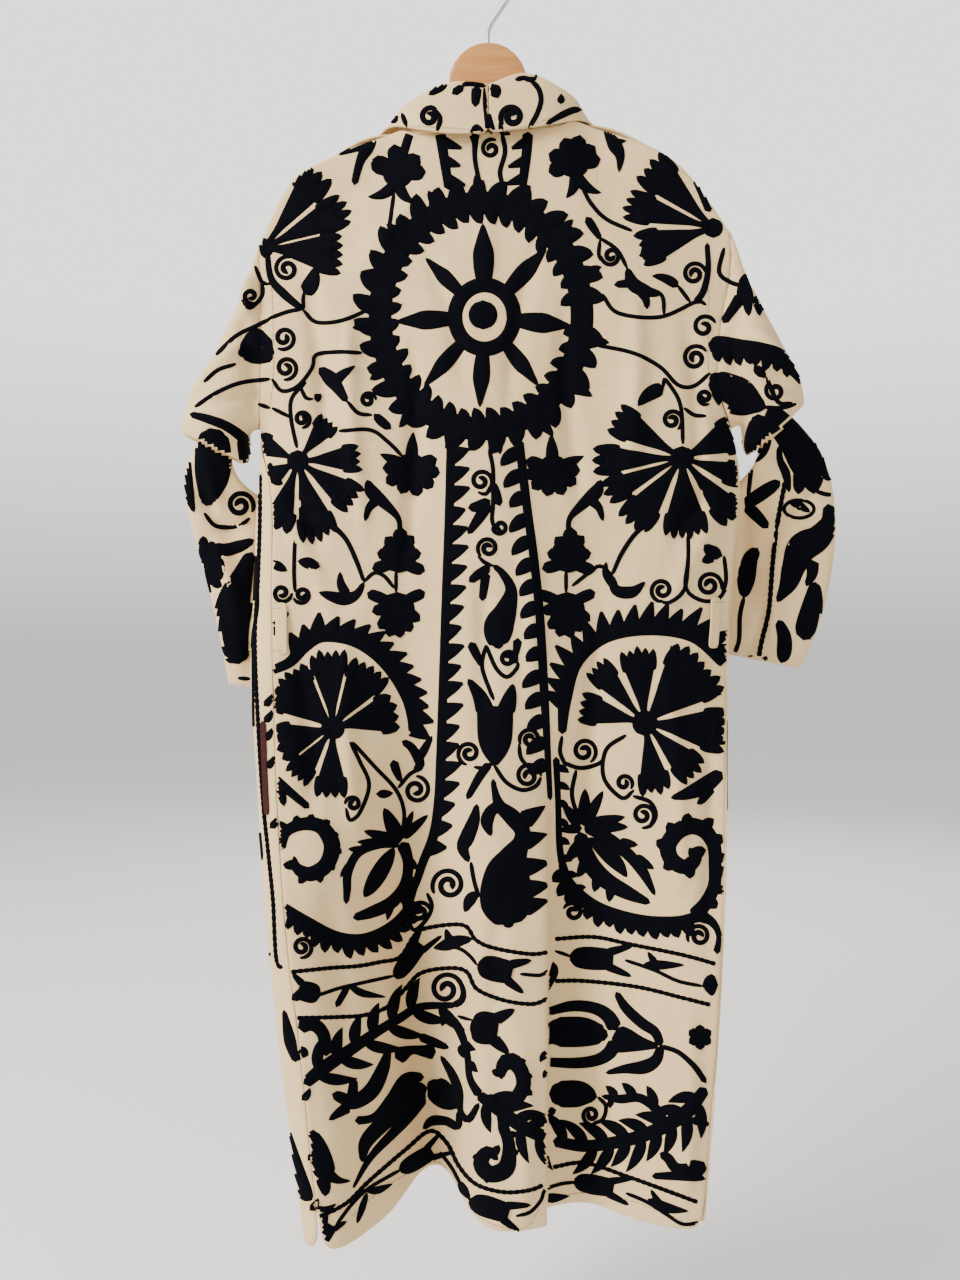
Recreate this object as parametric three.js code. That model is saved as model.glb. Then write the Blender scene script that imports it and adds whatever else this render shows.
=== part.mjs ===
// A long cotton suzani coat hanging on a flat wooden hanger with a bent wire hook.
// Millimetres, +Z up, origin at the inner top of the hook. The back of the coat faces -Y.
import * as THREE from 'three';

// ---- driving dimensions ----
const cloth = 2.0; // wall of every cloth piece
const seamGap = 0.3; // clear width at each seam
const ridgeRadius = 8; // fold of the cloth over the shoulder line
const hookRadius = 23.75; // crook, to the middle of the wire
const wire = 3.5; // hook wire
const hangerThickness = 10;
const hangerHalfSpan = 186;
const hangerRound = 3; // rounding of the wood's long edges
const domeRadius = 40;
const domeTop = -78;
const neckHalf = 84; // neck opening, half its width at the shoulder line
const backNeckDrop = 11; // the back neck seam dips below the shoulder line
const backBottom = -1215; // hem of the back, at its lowest
const lapelBreak = -500; // where the roll of the collar ends on the front edges
const frontEdge = 17; // each front's free edge, from the middle
const loopSize = { width: 11, length: 50, thick: 1.6 };
const pocketEdge = { thick: 1.2, length: 88, top: -752, from: 0.03, share: 0.022 }; // share of the section

// ---- small helpers ----
const lerp = (a, b, t) => a + (b - a) * t;
const clamp01 = (t) => Math.min(1, Math.max(0, t));
const smooth = (t) => clamp01(t) ** 2 * (3 - 2 * clamp01(t));
const ramp = (from, to, x) => smooth((x - from) / (to - from));
const bump = (x) => Math.exp(-x * x); // soft rise round 0

// A named column of a table of rows, read smoothly at a place given by the key column.
function column(rows, key, name, at) {
  const last = rows.length - 1;
  const falling = rows[0][key] > rows[last][key];
  const s = falling ? -1 : 1;
  if (s * at <= s * rows[0][key]) return rows[0][name];
  if (s * at >= s * rows[last][key]) return rows[last][name];
  let i = 0;
  while (s * at > s * rows[i + 1][key]) i++;
  const slope = (k) => {
    const a = rows[Math.max(0, k - 1)];
    const b = rows[Math.min(last, k + 1)];
    return (b[name] - a[name]) / (b[key] - a[key]);
  };
  const h = rows[i + 1][key] - rows[i][key];
  const t = (at - rows[i][key]) / h;
  const [p0, p1] = [rows[i][name], rows[i + 1][name]];
  const [m0, m1] = [slope(i) * h, slope(i + 1) * h];
  return (2 * t ** 3 - 3 * t ** 2 + 1) * p0 + (t ** 3 - 2 * t ** 2 + t) * m0
    + (3 * t ** 2 - 2 * t ** 3) * p1 + (t ** 3 - t ** 2) * m1;
}

// Points along a plane curve, put at equal steps of its length.
function evenSteps(curve, steps) {
  const fine = 240;
  const points = Array.from({ length: fine + 1 }, (_, i) => curve(i / fine));
  const lengths = [0];
  for (let i = 1; i <= fine; i++) {
    const [a, b] = [points[i - 1], points[i]];
    lengths.push(lengths[i - 1] + Math.hypot(b[0] - a[0], b[1] - a[1]));
  }
  const result = [];
  let k = 0;
  for (let j = 0; j <= steps; j++) {
    const want = (lengths[fine] * j) / steps;
    while (k < fine - 1 && lengths[k + 1] < want) k++;
    const t = clamp01((want - lengths[k]) / (lengths[k + 1] - lengths[k] || 1));
    result.push([lerp(points[k][0], points[k + 1][0], t), lerp(points[k][1], points[k + 1][1], t)]);
  }
  return result;
}

// A closed wall of even thickness on a grid of middle points, grid[row][col].
// side = 1 makes the outer face lie where (along columns) x (along rows) points.
function wallOf(grid, thickness, closedAcross = false) {
  const rows = grid.length;
  const cols = grid[0].length;
  const at = (r, c) => grid[r][closedAcross ? (c + cols) % cols : Math.min(cols - 1, Math.max(0, c))];
  const positions = [];
  for (const side of [1, -1]) {
    for (let r = 0; r < rows; r++) {
      for (let c = 0; c < cols; c++) {
        const across = at(r, c + 1).clone().sub(at(r, c - 1));
        const down = grid[Math.min(rows - 1, r + 1)][c].clone().sub(grid[Math.max(0, r - 1)][c]);
        const normal = across.cross(down).normalize();
        const p = grid[r][c].clone().addScaledVector(normal, (side * thickness) / 2);
        positions.push(p.x, p.y, p.z);
      }
    }
  }
  const index = [];
  const id = (face, r, c) => face * rows * cols + r * cols + (closedAcross ? c % cols : c);
  const spread = (a, b) => Math.hypot(...[0, 1, 2].map((k) => positions[3 * a + k] - positions[3 * b + k]));
  const quad = (a, b, c, d) => {
    if (spread(a, c) <= spread(b, d)) index.push(a, b, c, a, c, d);
    else index.push(a, b, d, b, c, d);
  };
  const spans = closedAcross ? cols : cols - 1;
  for (let r = 0; r < rows - 1; r++) {
    for (let c = 0; c < spans; c++) {
      quad(id(0, r, c), id(0, r, c + 1), id(0, r + 1, c + 1), id(0, r + 1, c));
      quad(id(1, r, c), id(1, r + 1, c), id(1, r + 1, c + 1), id(1, r, c + 1));
    }
  }
  for (let c = 0; c < spans; c++) {
    quad(id(0, 0, c), id(1, 0, c), id(1, 0, c + 1), id(0, 0, c + 1));
    quad(id(0, rows - 1, c), id(0, rows - 1, c + 1), id(1, rows - 1, c + 1), id(1, rows - 1, c));
  }
  if (!closedAcross) {
    for (let r = 0; r < rows - 1; r++) {
      quad(id(0, r, 0), id(0, r + 1, 0), id(1, r + 1, 0), id(1, r, 0));
      quad(id(0, r, cols - 1), id(1, r, cols - 1), id(1, r + 1, cols - 1), id(0, r + 1, cols - 1));
    }
  }
  const geometry = new THREE.BufferGeometry();
  geometry.setAttribute('position', new THREE.Float32BufferAttribute(positions, 3));
  geometry.setIndex(index);
  return geometry;
}

// ---- the coat's outline and folds ----
// Shoulder line: height of the cloth's middle surface over the hanger, by distance across.
const shoulder = [
  { x: -227, z: -282 },
  { x: -219, z: -259 },
  { x: -199, z: -219 },
  { x: -178, z: -203 },
  { x: -138, z: -184 },
  { x: -108, z: -173 },
  { x: -86, z: -167 },
  { x: 0, z: -162 },
  { x: 84, z: -158 },
  { x: 106, z: -163 },
  { x: 154, z: -178 },
  { x: 184, z: -195 },
  { x: 213, z: -225 },
  { x: 235, z: -260 },
  { x: 241, z: -268 },
];
const shoulderHeight = (x) => column(shoulder, 'x', 'z', x);

// Sides of the back: seam places and depths at each height. Down to the underarm it is the armhole seam.
const backSides = [
  { z: -275, left: -227, yLeft: -1.3, dipLeft: 0, right: 241, yRight: -1.3, dipRight: 0 },
  { z: -322, left: -222, yLeft: -17, dipLeft: 0, right: 226, yRight: -17, dipRight: 0 },
  { z: -372, left: -221, yLeft: -26, dipLeft: 0, right: 212, yRight: -26, dipRight: 0 },
  { z: -412, left: -219, yLeft: -28, dipLeft: 0, right: 215, yRight: -28, dipRight: 1 },
  { z: -450, left: -223, yLeft: -29, dipLeft: 11, right: 228, yRight: -28, dipRight: 11 },
  { z: -472, left: -228, yLeft: -29, dipLeft: 25, right: 246, yRight: -28, dipRight: 25 },
  { z: -505, left: -217, yLeft: -29, dipLeft: 15, right: 250, yRight: -27, dipRight: 23 },
  { z: -528, left: -209, yLeft: -29, dipLeft: 1, right: 249, yRight: -26, dipRight: 20 },
  { z: -635, left: -209, yLeft: -31, dipLeft: 0, right: 237, yRight: -26, dipRight: 14 },
  { z: -779, left: -203, yLeft: -45, dipLeft: 0, right: 230, yRight: -32, dipRight: 6 },
  { z: -881, left: -195, yLeft: -60, dipLeft: 0, right: 226, yRight: -43, dipRight: 0 },
  { z: -956, left: -186, yLeft: -75, dipLeft: 0, right: 220, yRight: -57, dipRight: 0 },
  { z: -1063, left: -168, yLeft: -95, dipLeft: 0, right: 209, yRight: -76, dipRight: 0 },
  { z: -1145, left: -158, yLeft: -106, dipLeft: 0, right: 200, yRight: -86, dipRight: 0 },
  { z: -1213, left: -148, yLeft: -114, dipLeft: 0, right: 194, yRight: -90, dipRight: 0 },
];
const backAt = (name, z) => column(backSides, 'z', name, z);

// Hanging folds of the back. high, low: place across (0 left seam, 1 right seam) high up and at the hem;
// width: half width as a share; depth: + away from the back; from, full: heights where it grows.
const backFolds = [
  { name: 'valley left of the middle', high: 0.33, low: 0.27, width: 0.125, depth: 98, from: -620, full: -1060 },
  { name: 'swell of the left edge', high: 0.1, low: 0.1, width: 0.07, depth: 10, from: -700, full: -1100 },
  { name: 'middle lobe', high: 0.55, low: 0.48, width: 0.1, depth: 6, from: -640, full: -1000 },
  { name: 'valley right of the tuck', high: 0.72, low: 0.69, width: 0.15, depth: 50, from: -690, full: -960 },
  { name: 'upper ripple left', high: 0.27, low: 0.3, width: 0.07, depth: 6, from: -330, full: -470 },
  { name: 'upper ripple middle', high: 0.47, low: 0.46, width: 0.08, depth: -6, from: -300, full: -480 },
  { name: 'upper ripple right', high: 0.7, low: 0.7, width: 0.07, depth: 6, from: -320, full: -480 },
];
// The tuck whose edge laps over the valley to its right.
const tuck = { high: 0.57, low: 0.535, width: 0.03, lap: 24, from: -730, full: -930 };

function backSection(z) {
  const [xl, xr] = [backAt('left', z), backAt('right', z)];
  const [yl, yr] = [backAt('yLeft', z), backAt('yRight', z)];
  const [dl, dr] = [backAt('dipLeft', z), backAt('dipRight', z)];
  const lap = tuck.lap * ramp(tuck.from, tuck.full, z);
  const tuckAt = lerp(tuck.high, tuck.low, ramp(tuck.from, backBottom, z));
  const belly = -7 * ramp(-270, -420, z) + 5 * ramp(-600, -1000, z);
  return (u) => {
    const edge = smooth(u / 0.12) * smooth((1 - u) / 0.12);
    let y = lerp(yl, yr, u) + belly * Math.sin(Math.PI * u);
    y += dl * bump(u / 0.05) + dr * bump((1 - u) / 0.05);
    for (const fold of backFolds) {
      const grown = ramp(fold.from, fold.full, z);
      const middle = lerp(fold.high, fold.low, grown);
      y += fold.depth * grown * edge * bump((u - middle) / fold.width);
    }
    const lapped = lap * bump((u - tuckAt) / tuck.width) - 0.75 * lap * bump((u - tuckAt - 0.075) / 0.05);
    return [lerp(xl, xr, u) + lapped, y];
  };
}

// Where the hem rises in the deep folds.
const hemRise = (u, z) => ramp(-900, -1210, z) * (20 * bump((u - 0.3) / 0.1) + 6 * u);
const underarm = -473;

// Height of the top edge of the back: the shoulder line, and the dip of the neck seam.
function topEdge(x, drop) {
  const inNeck = 1 - ramp(neckHalf - 14, neckHalf + 2, Math.abs(x - 1));
  return shoulderHeight(x) - 1 - drop * inNeck;
}

// Rows near the shoulder line go round its fold; depth and drop of each from the line.
const ridgeRows = [0, 34, 62, 90].map((degrees) => {
  const angle = (degrees * Math.PI) / 180;
  const start = seamGap / 2 + 0.4;
  return {
    depth: start + (ridgeRadius - start) * Math.sin(angle),
    drop: ridgeRadius * (1 - Math.cos(angle)),
  };
});
const ridgeSteps = ridgeRows.length - 1;
const upperRows = 8; // from the shoulder's fold to the underarm
const lowerRows = 15; // from the underarm to the hem
const panelRows = ridgeSteps + upperRows + lowerRows;
const softMax = (a, b, soft) => 0.5 * (a + b + Math.hypot(a - b, soft));

// A panel's grid: rows follow the shoulder line at the top and turn level at the underarm.
function panelGrid({ section, cols, rows, side, topLeft, topRight, drop, bottom, rise, neckDepth }) {
  const upper = ridgeSteps + upperRows;
  const grid = [];
  for (let r = 0; r <= rows; r++) {
    const row = [];
    const inUpper = r <= upper;
    const level = inUpper ? null : lerp(underarm, bottom, (r - upper) / (rows - upper));
    const even = inUpper ? null : evenSteps(section(level), cols);
    const share = (Math.max(0, r - ridgeSteps) / upperRows) ** 1.25;
    const ridge = ridgeRows[Math.min(r, ridgeSteps)];
    for (let c = 0; c <= cols; c++) {
      const u = c / cols;
      if (!inUpper) {
        const [x, y] = even[c];
        row.push(new THREE.Vector3(x, y, level + rise(u, level)));
        continue;
      }
      const xTop = lerp(topLeft, topRight, u);
      const zTop = topEdge(xTop, drop);
      const z = lerp(zTop - ridge.drop, underarm, share);
      const edgeTop = topEdge(u < 0.5 ? topLeft : topRight, drop) - ridge.drop;
      const [x, y] = evenSteps(section(lerp(edgeTop, underarm, share)), cols)[c];
      const inNeck = 1 - ramp(neckHalf - 8, neckHalf + 20, Math.abs(xTop - 1));
      const hang = lerp(ridge.depth, Math.abs(y), smooth((zTop - ridge.drop - z) / 200));
      const deep = softMax(hang, inNeck * neckDepth, 4 * inNeck);
      row.push(new THREE.Vector3(lerp(xTop, x, share), side * lerp(deep, Math.abs(y), share ** 2), z));
    }
    grid.push(row);
  }
  return grid;
}

const backGrid = panelGrid({
  section: backSection,
  cols: 33,
  rows: panelRows,
  side: -1,
  topLeft: -226,
  topRight: 240,
  drop: backNeckDrop,
  bottom: backBottom,
  rise: hemRise,
  neckDepth: 14,
});

// ---- fronts ----
// Each front starts at its side seam, turns round the coat's edge and runs to its free edge.
// seam: depth of the armhole edge, above the underarm; edge: where the left front turns; y: its flat part.
const frontSides = [
  { z: -275, seam: 0.6, edge: -229, yEdge: 3, y: 16 },
  { z: -322, seam: 17, edge: -222, yEdge: 20, y: 22 },
  { z: -372, seam: 24, edge: -219, yEdge: 25, y: 26 },
  { z: -412, seam: 25, edge: -217, yEdge: 26, y: 28 },
  { z: -450, seam: 14, edge: -222, yEdge: 20, y: 28 },
  { z: -472, seam: -5, edge: -231, yEdge: 6, y: 27 },
  { z: -505, seam: -19, edge: -231, yEdge: -1, y: 27 },
  { z: -528, seam: -26, edge: -231, yEdge: -10, y: 28 },
  { z: -635, seam: -30, edge: -233, yEdge: -14, y: 29 },
  { z: -700, seam: -35, edge: -236, yEdge: -20, y: 30 },
  { z: -779, seam: -43, edge: -229, yEdge: -29, y: 31 },
  { z: -881, seam: -58, edge: -220, yEdge: -42, y: 34 },
  { z: -956, seam: -73, edge: -210, yEdge: -57, y: 38 },
  { z: -1063, seam: -93, edge: -194, yEdge: -76, y: 43 },
  { z: -1145, seam: -104, edge: -180, yEdge: -88, y: 46 },
  { z: -1213, seam: -112, edge: -168, yEdge: -98, y: 48 },
];
const frontAt = (name, z) => column(frontSides, 'z', name, z);
const frontFolds = [
  { name: 'lobe of the left front', side: -1, at: 0.66, width: 0.13, depth: 24, from: -560, full: -1080 },
  { name: 'hollow by the left edge', side: -1, at: 0.4, width: 0.1, depth: -14, from: -620, full: -1120 },
  { name: 'lobe of the right front', side: 1, at: 0.5, width: 0.13, depth: 26, from: -560, full: -1040 },
  { name: 'hollow of the right front', side: 1, at: 0.78, width: 0.1, depth: -8, from: -600, full: -1120 },
];

// Where a front's side seam lies: on the armhole edge, and below it just past the back's edge.
function frontSeam(sign, z) {
  if (z > underarm + 0.01) return [backAt(sign < 0 ? 'left' : 'right', z), frontAt('seam', z)];
  const section = backSection(z);
  const [end, before] = sign < 0 ? [section(0), section(0.03)] : [section(1), section(0.97)];
  const run = new THREE.Vector2(end[0] - before[0], end[1] - before[1]).normalize();
  const apart = cloth / 2 + seamGap + 0.15;
  return [end[0] + run.x * apart, end[1] + run.y * apart];
}

// Section of one front from its side seam (t = 0) to its free edge (t = 1).
function frontSection(sign) {
  return (z) => {
    const y0 = frontAt('y', z);
    const seam = frontSeam(sign, z);
    const turnOut = sign < 0 ? frontAt('edge', z) : seam[0] + 2 * ramp(-473, -620, z);
    const turnY = sign < 0 ? frontAt('yEdge', z) : seam[1] + 7;
    const open = sign * lerp(frontEdge, frontEdge + 14, ramp(lapelBreak, -1210, z));
    const spread = lerp(14, 34, ramp(-480, -1000, z));
    const wrap = ramp(-446, -505, z);
    const near = [lerp(seam[0] - sign * 4, turnOut, wrap), lerp(seam[1] + 0.5, turnY, wrap)];
    const next = [
      lerp(seam[0] - sign * 20, turnOut - sign * spread * 0.5, wrap),
      lerp(y0 - 1, lerp(turnY, y0, 0.55), wrap),
    ];
    const points = [
      new THREE.Vector2(...seam),
      new THREE.Vector2(...near),
      new THREE.Vector2(...next),
      new THREE.Vector2(seam[0] - sign * (30 + spread), lerp(y0, y0 - 2, wrap)),
      new THREE.Vector2(lerp(seam[0], open, 0.5), y0),
      new THREE.Vector2(open, y0 + 2),
    ];
    const spline = new THREE.SplineCurve(points);
    const base = evenSteps((t) => spline.getPoint(t).toArray(), 48);
    return (t) => {
      const k = Math.min(47, Math.floor(t * 48));
      let y = lerp(base[k][1], base[k + 1][1], t * 48 - k);
      for (const fold of frontFolds.filter((f) => f.side === sign)) {
        y += fold.depth * ramp(fold.from, fold.full, z) * bump((t - fold.at) / fold.width);
      }
      return [lerp(base[k][0], base[k + 1][0], t * 48 - k), y];
    };
  };
}

// Front neck: the free edge of each front runs from the neck point down to the break of the lapel.
const neckLine = [
  { z: -158, x: 84, y: 3 },
  { z: -185, x: 76, y: 15 },
  { z: -235, x: 60, y: 23 },
  { z: -320, x: 41, y: 28 },
  { z: -420, x: 24, y: 30 },
  { z: -500, x: frontEdge, y: 30 },
];

function frontGrid(sign, cols, rows) {
  const section = frontSection(sign);
  const upper = ridgeSteps + upperRows;
  const seamTop = sign < 0 ? -226 : 240;
  const grid = [];
  for (let r = 0; r <= rows; r++) {
    const inUpper = r <= upper;
    const ridge = ridgeRows[Math.min(r, ridgeSteps)];
    const share = inUpper ? (Math.max(0, r - ridgeSteps) / upperRows) ** 1.25 : (r - upper) / (rows - upper);
    const row = [];
    for (let c = 0; c <= cols; c++) {
      const t = c / cols;
      if (inUpper) {
        const tipZ = topEdge(seamTop, 0) - ridge.drop;
        const edgeZ = lerp(tipZ, underarm, share);
        const innerZ = lerp(topEdge(sign * (neckHalf + 2), 0) - ridge.drop, lapelBreak, share);
        const xTop = lerp(seamTop, sign * (neckHalf + 2), t);
        const zTop = topEdge(xTop, 0) - ridge.drop;
        const z = lerp(zTop, lerp(underarm, lapelBreak, t), share);
        const [x, y] = evenSteps(section(edgeZ), cols)[c];
        const innerX = sign * column(neckLine, 'z', 'x', innerZ);
        const outerX = frontSeam(sign, edgeZ)[0];
        const flatY = lerp(y, column(neckLine, 'z', 'y', innerZ), smooth((t - 0.5) / 0.5));
        const zz = lerp(z, innerZ, smooth((t - 0.45) / 0.55));
        const across = lerp(lerp(xTop, x, share), lerp(outerX, innerX, t), smooth(share * 3));
        const hang = lerp(ridge.depth, flatY, smooth((zTop - z) / 160));
        row.push(new THREE.Vector3(across, lerp(hang, y, share ** 3), zz));
      } else {
        const seamLevel = lerp(underarm, backBottom, share);
        const level = seamLevel + hemRise(sign < 0 ? 0 : 1, seamLevel);
        const z = lerp(level, level + (lapelBreak - underarm) * (1 - share), t);
        const [x, y] = evenSteps(section(z), cols)[c];
        row.push(new THREE.Vector3(x, y, z));
      }
    }
    grid.push(sign < 0 ? row : row.reverse());
  }
  return grid;
}

const frontLeft = frontGrid(-1, 15, panelRows);
const frontRight = frontGrid(1, 15, panelRows);

// ---- sleeves ----
// Rings from the armhole to the cuff. outer and inner: the two folded edges of the flat tube,
// as x, z and depth y; thick: half its thickness in the middle.
const leftSleeve = [
  { name: 'armhole', xo: -227.5, zo: -280, yo: 0, xi: -229.5, zi: -472, yi: -4, thick: 27 },
  { name: 'upper arm', xo: -246, zo: -333, yo: 0, xi: -240, zi: -474, yi: 0, thick: 33 },
  { name: 'above the elbow', xo: -273, zo: -394, yo: 0, xi: -240, zi: -477, yi: 4, thick: 35 },
  { name: 'elbow', xo: -302, zo: -443, yo: 2, xi: -240, zi: -481, yi: 6, thick: 34 },
  { name: 'roll of the fold', xo: -309, zo: -465, yo: 6, xi: -241, zi: -491, yi: 8, thick: 31 },
  { name: 'under the roll', xo: -304, zo: -470, yo: 7, xi: -247, zi: -498, yi: 9, thick: 26 },
  { name: 'up inside', xo: -299, zo: -459, yo: 8, xi: -252, zi: -487, yi: 9, thick: 21 },
  { name: 'top of the tuck', xo: -295, zo: -451, yo: 8, xi: -257, zi: -479, yi: 10, thick: 17 },
  { name: 'turning down', xo: -290, zo: -458, yo: 9, xi: -261, zi: -489, yi: 11, thick: 13.5 },
  { name: 'back down', xo: -291, zo: -474, yo: 12, xi: -258, zi: -507, yi: 15, thick: 12 },
  { name: 'clear of the fold', xo: -311, zo: -500, yo: 24, xi: -241, zi: -527, yi: 31, thick: 13 },
  { name: 'below the elbow', xo: -313, zo: -532, yo: 33, xi: -178, zi: -553, yi: 56, thick: 15 },
  { name: 'forearm', xo: -302, zo: -578, yo: 40, xi: -146, zi: -586, yi: 66, thick: 16 },
  { name: 'lower forearm', xo: -287, zo: -632, yo: 42, xi: -132, zi: -650, yi: 66, thick: 15 },
  { name: 'above the cuff', xo: -276, zo: -686, yo: 42, xi: -124, zi: -706, yi: 64, thick: 14 },
  { name: 'cuff', xo: -270, zo: -719, yo: 42, xi: -120, zi: -738, yi: 62, thick: 14 },
];
const rightSleeve = [
  { name: 'armhole', xo: 241.5, zo: -267, yo: 0, xi: 248.5, zi: -466, yi: -2, thick: 26 },
  { name: 'upper arm', xo: 259, zo: -318, yo: 0, xi: 255, zi: -466, yi: 0, thick: 33 },
  { name: 'above the elbow', xo: 280, zo: -356, yo: 0, xi: 257, zi: -470, yi: 4, thick: 35 },
  { name: 'elbow', xo: 303, zo: -400, yo: 2, xi: 258, zi: -475, yi: 6, thick: 34 },
  { name: 'roll of the fold', xo: 319, zo: -436, yo: 6, xi: 258, zi: -483, yi: 8, thick: 31 },
  { name: 'under the roll', xo: 314, zo: -441, yo: 7, xi: 263, zi: -490, yi: 9, thick: 26 },
  { name: 'up inside', xo: 309, zo: -431, yo: 8, xi: 268, zi: -479, yi: 9, thick: 21 },
  { name: 'top of the tuck', xo: 305, zo: -424, yo: 8, xi: 272, zi: -470, yi: 10, thick: 17 },
  { name: 'turning down', xo: 300, zo: -431, yo: 9, xi: 276, zi: -479, yi: 11, thick: 13.5 },
  { name: 'back down', xo: 303, zo: -447, yo: 12, xi: 273, zi: -496, yi: 15, thick: 12 },
  { name: 'clear of the fold', xo: 344, zo: -478, yo: 22, xi: 258, zi: -515, yi: 31, thick: 13 },
  { name: 'below the elbow', xo: 359, zo: -528, yo: 33, xi: 214, zi: -546, yi: 56, thick: 15 },
  { name: 'forearm', xo: 363, zo: -571, yo: 40, xi: 204, zi: -576, yi: 66, thick: 16 },
  { name: 'lower forearm', xo: 355, zo: -632, yo: 42, xi: 200, zi: -622, yi: 66, thick: 15 },
  { name: 'above the cuff', xo: 338, zo: -678, yo: 42, xi: 192, zi: -654, yi: 64, thick: 14 },
  { name: 'cuff', xo: 325, zo: -703, yo: 42, xi: 186, zi: -674, yi: 62, thick: 14 },
];

// The armhole seam, from its top down the back edge and up the front edge again, moved clear.
function armhole(sign) {
  const last = ridgeSteps + upperRows;
  const edge = (grid, column) => grid.slice(0, last + 1).map((row) => row[column]);
  const back = edge(backGrid, sign < 0 ? 0 : backGrid[0].length - 1);
  const front = edge(sign < 0 ? frontLeft : frontRight, sign < 0 ? 0 : frontRight[0].length - 1);
  const loop = [...back, ...front.slice(1, -1).reverse()];
  const clear = seamGap + 0.75;
  return loop.map((p, i) => {
    const before = loop[(i - 1 + loop.length) % loop.length];
    const after = loop[(i + 1) % loop.length];
    const run = after.clone().sub(before).setY(0).normalize();
    const lift = Math.sign(run.x * run.z * -sign) * Math.abs(run.x);
    const out = new THREE.Vector3(Math.abs(run.z) * sign, 0, lift);
    const atEnd = i === 0 || i === back.length - 1;
    return p.clone().addScaledVector(atEnd ? new THREE.Vector3(sign, 0, 0) : out, clear + (atEnd ? 0.9 : 0));
  });
}

function sleeveGrid(rings, sign) {
  // Places of the rows by ring: closer together at the shoulder.
  const places = [0, 0.8, 1.5, 2.2, 3, ...rings.keys()].filter((v, i) => i < 5 || v > 3);
  const indexed = rings.map((ring, i) => ({ ...ring, i }));
  const seam = armhole(sign);
  const around = seam.length;
  const low = seam[ridgeSteps + upperRows].z;
  const grid = [];
  for (const at of places) {
    const get = (name) => column(indexed, 'i', name, at);
    const outer = new THREE.Vector3(get('xo'), get('yo'), get('zo'));
    const inner = new THREE.Vector3(get('xi'), get('yi'), get('zi'));
    const middle = outer.clone().add(inner).multiplyScalar(0.5);
    const half = outer.clone().sub(middle);
    const row = [];
    for (let c = 0; c < around; c++) {
      const drop = 1 - (2 * (seam[c].z - seam[0].z)) / (low - seam[0].z);
      const down = Math.acos(Math.sign(drop) * Math.min(1, Math.abs(drop) ** 1.25));
      const even = (2 * Math.PI * c) / around;
      const behind = c <= ridgeSteps + upperRows;
      const angle = lerp(behind ? down : 2 * Math.PI - down, even, smooth((at - 1) / 2.5));
      const p = middle.clone().addScaledVector(half, Math.cos(angle));
      p.y -= get('thick') * Math.sin(angle);
      row.push(p.lerp(seam[c], clamp01(1 - at / 1.7) ** 2));
    }
    grid.push(sign < 0 ? row : row.reverse());
  }
  return grid;
}

// ---- collar ----
// From the centre back round the neck and down the front edge. base: on the neck seam; roll: its
// folded top; edge: the free edge that lies on the coat. x is for the right half.
const collarRows = [
  { name: 'centre back', at: 0, xr: 0.3, yr: -20, zr: -130, xe: 0.3, ye: -27, ze: -180, lift: 0 },
  { name: 'back', at: 0.16, xr: 36, yr: -19, zr: -127, xe: 40, ye: -26, ze: -180, lift: 9 },
  { name: 'back shoulder', at: 0.28, xr: 67, yr: -16, zr: -139, xe: 70, ye: -22, ze: -174, lift: 10 },
  { name: 'shoulder line', at: 0.4, xr: 92, yr: 0, zr: -150, xe: 104, ye: 1, ze: -162, lift: 9 },
  { name: 'front shoulder', at: 0.48, xr: 84, yr: 20, zr: -160, xe: 122, ye: 24, ze: -184, lift: 8 },
  { name: 'lapel top', at: 0.6, xr: 64, yr: 30, zr: -206, xe: 120, ye: 33, ze: -236, lift: 4 },
  { name: 'lapel', at: 0.8, xr: 34, yr: 38, zr: -328, xe: 98, ye: 38, ze: -345, lift: 0 },
  { name: 'break', at: 1, xr: 12, yr: 38, zr: -480, xe: 38, ye: 38, ze: -490, lift: 0 },
];
const collarRoll = 3.6; // radius of its fold
const neckShare = 0.36; // part of the collar's length that is sewn to the back

// A point beside the neck seam: along the back's neck, then down the front's free edge.
function besideNeck(sign, at, front) {
  if (at < neckShare) {
    const x = lerp(0.3, neckHalf - 5, at / neckShare);
    const along = clamp01((sign * x - backGrid[0][0].x) / (backGrid[0].at(-1).x - backGrid[0][0].x));
    const place = along * (backGrid[0].length - 1);
    const k = Math.floor(place);
    const p = backGrid[0][k].clone().lerp(backGrid[0][Math.min(k + 1, backGrid[0].length - 1)], place - k);
    return new THREE.Vector3(x, p.y, p.z + seamGap + 1.1);
  }
  const z = lerp(topEdge(sign * (neckHalf + 2), 0) + 1, lapelBreak + 22, (at - neckShare) / (1 - neckShare));
  const inner = front.map((row) => row[sign < 0 ? row.length - 1 : 0]);
  let k = 0;
  while (k < inner.length - 2 && inner[k + 1].z > z) k++;
  const t = clamp01((z - inner[k].z) / (inner[k + 1].z - inner[k].z));
  const p = inner[k].clone().lerp(inner[k + 1], t);
  const past = clamp01((at - neckShare) / 0.1);
  const inset = (cloth / 2 + seamGap + 0.6) * past;
  return new THREE.Vector3(Math.abs(p.x) - inset, p.y + 0.4, z + 1.4 * (1 - past));
}

// The same, with its corner at the shoulder rounded off.
function neckSeam(sign, at, front) {
  const reach = 0.03 * bump((at - neckShare - 0.01) / 0.08);
  const around = [-1, 0, 1].map((k) => besideNeck(sign, at + k * reach, front));
  return around[0].add(around[1]).add(around[2]).divideScalar(3);
}

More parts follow.
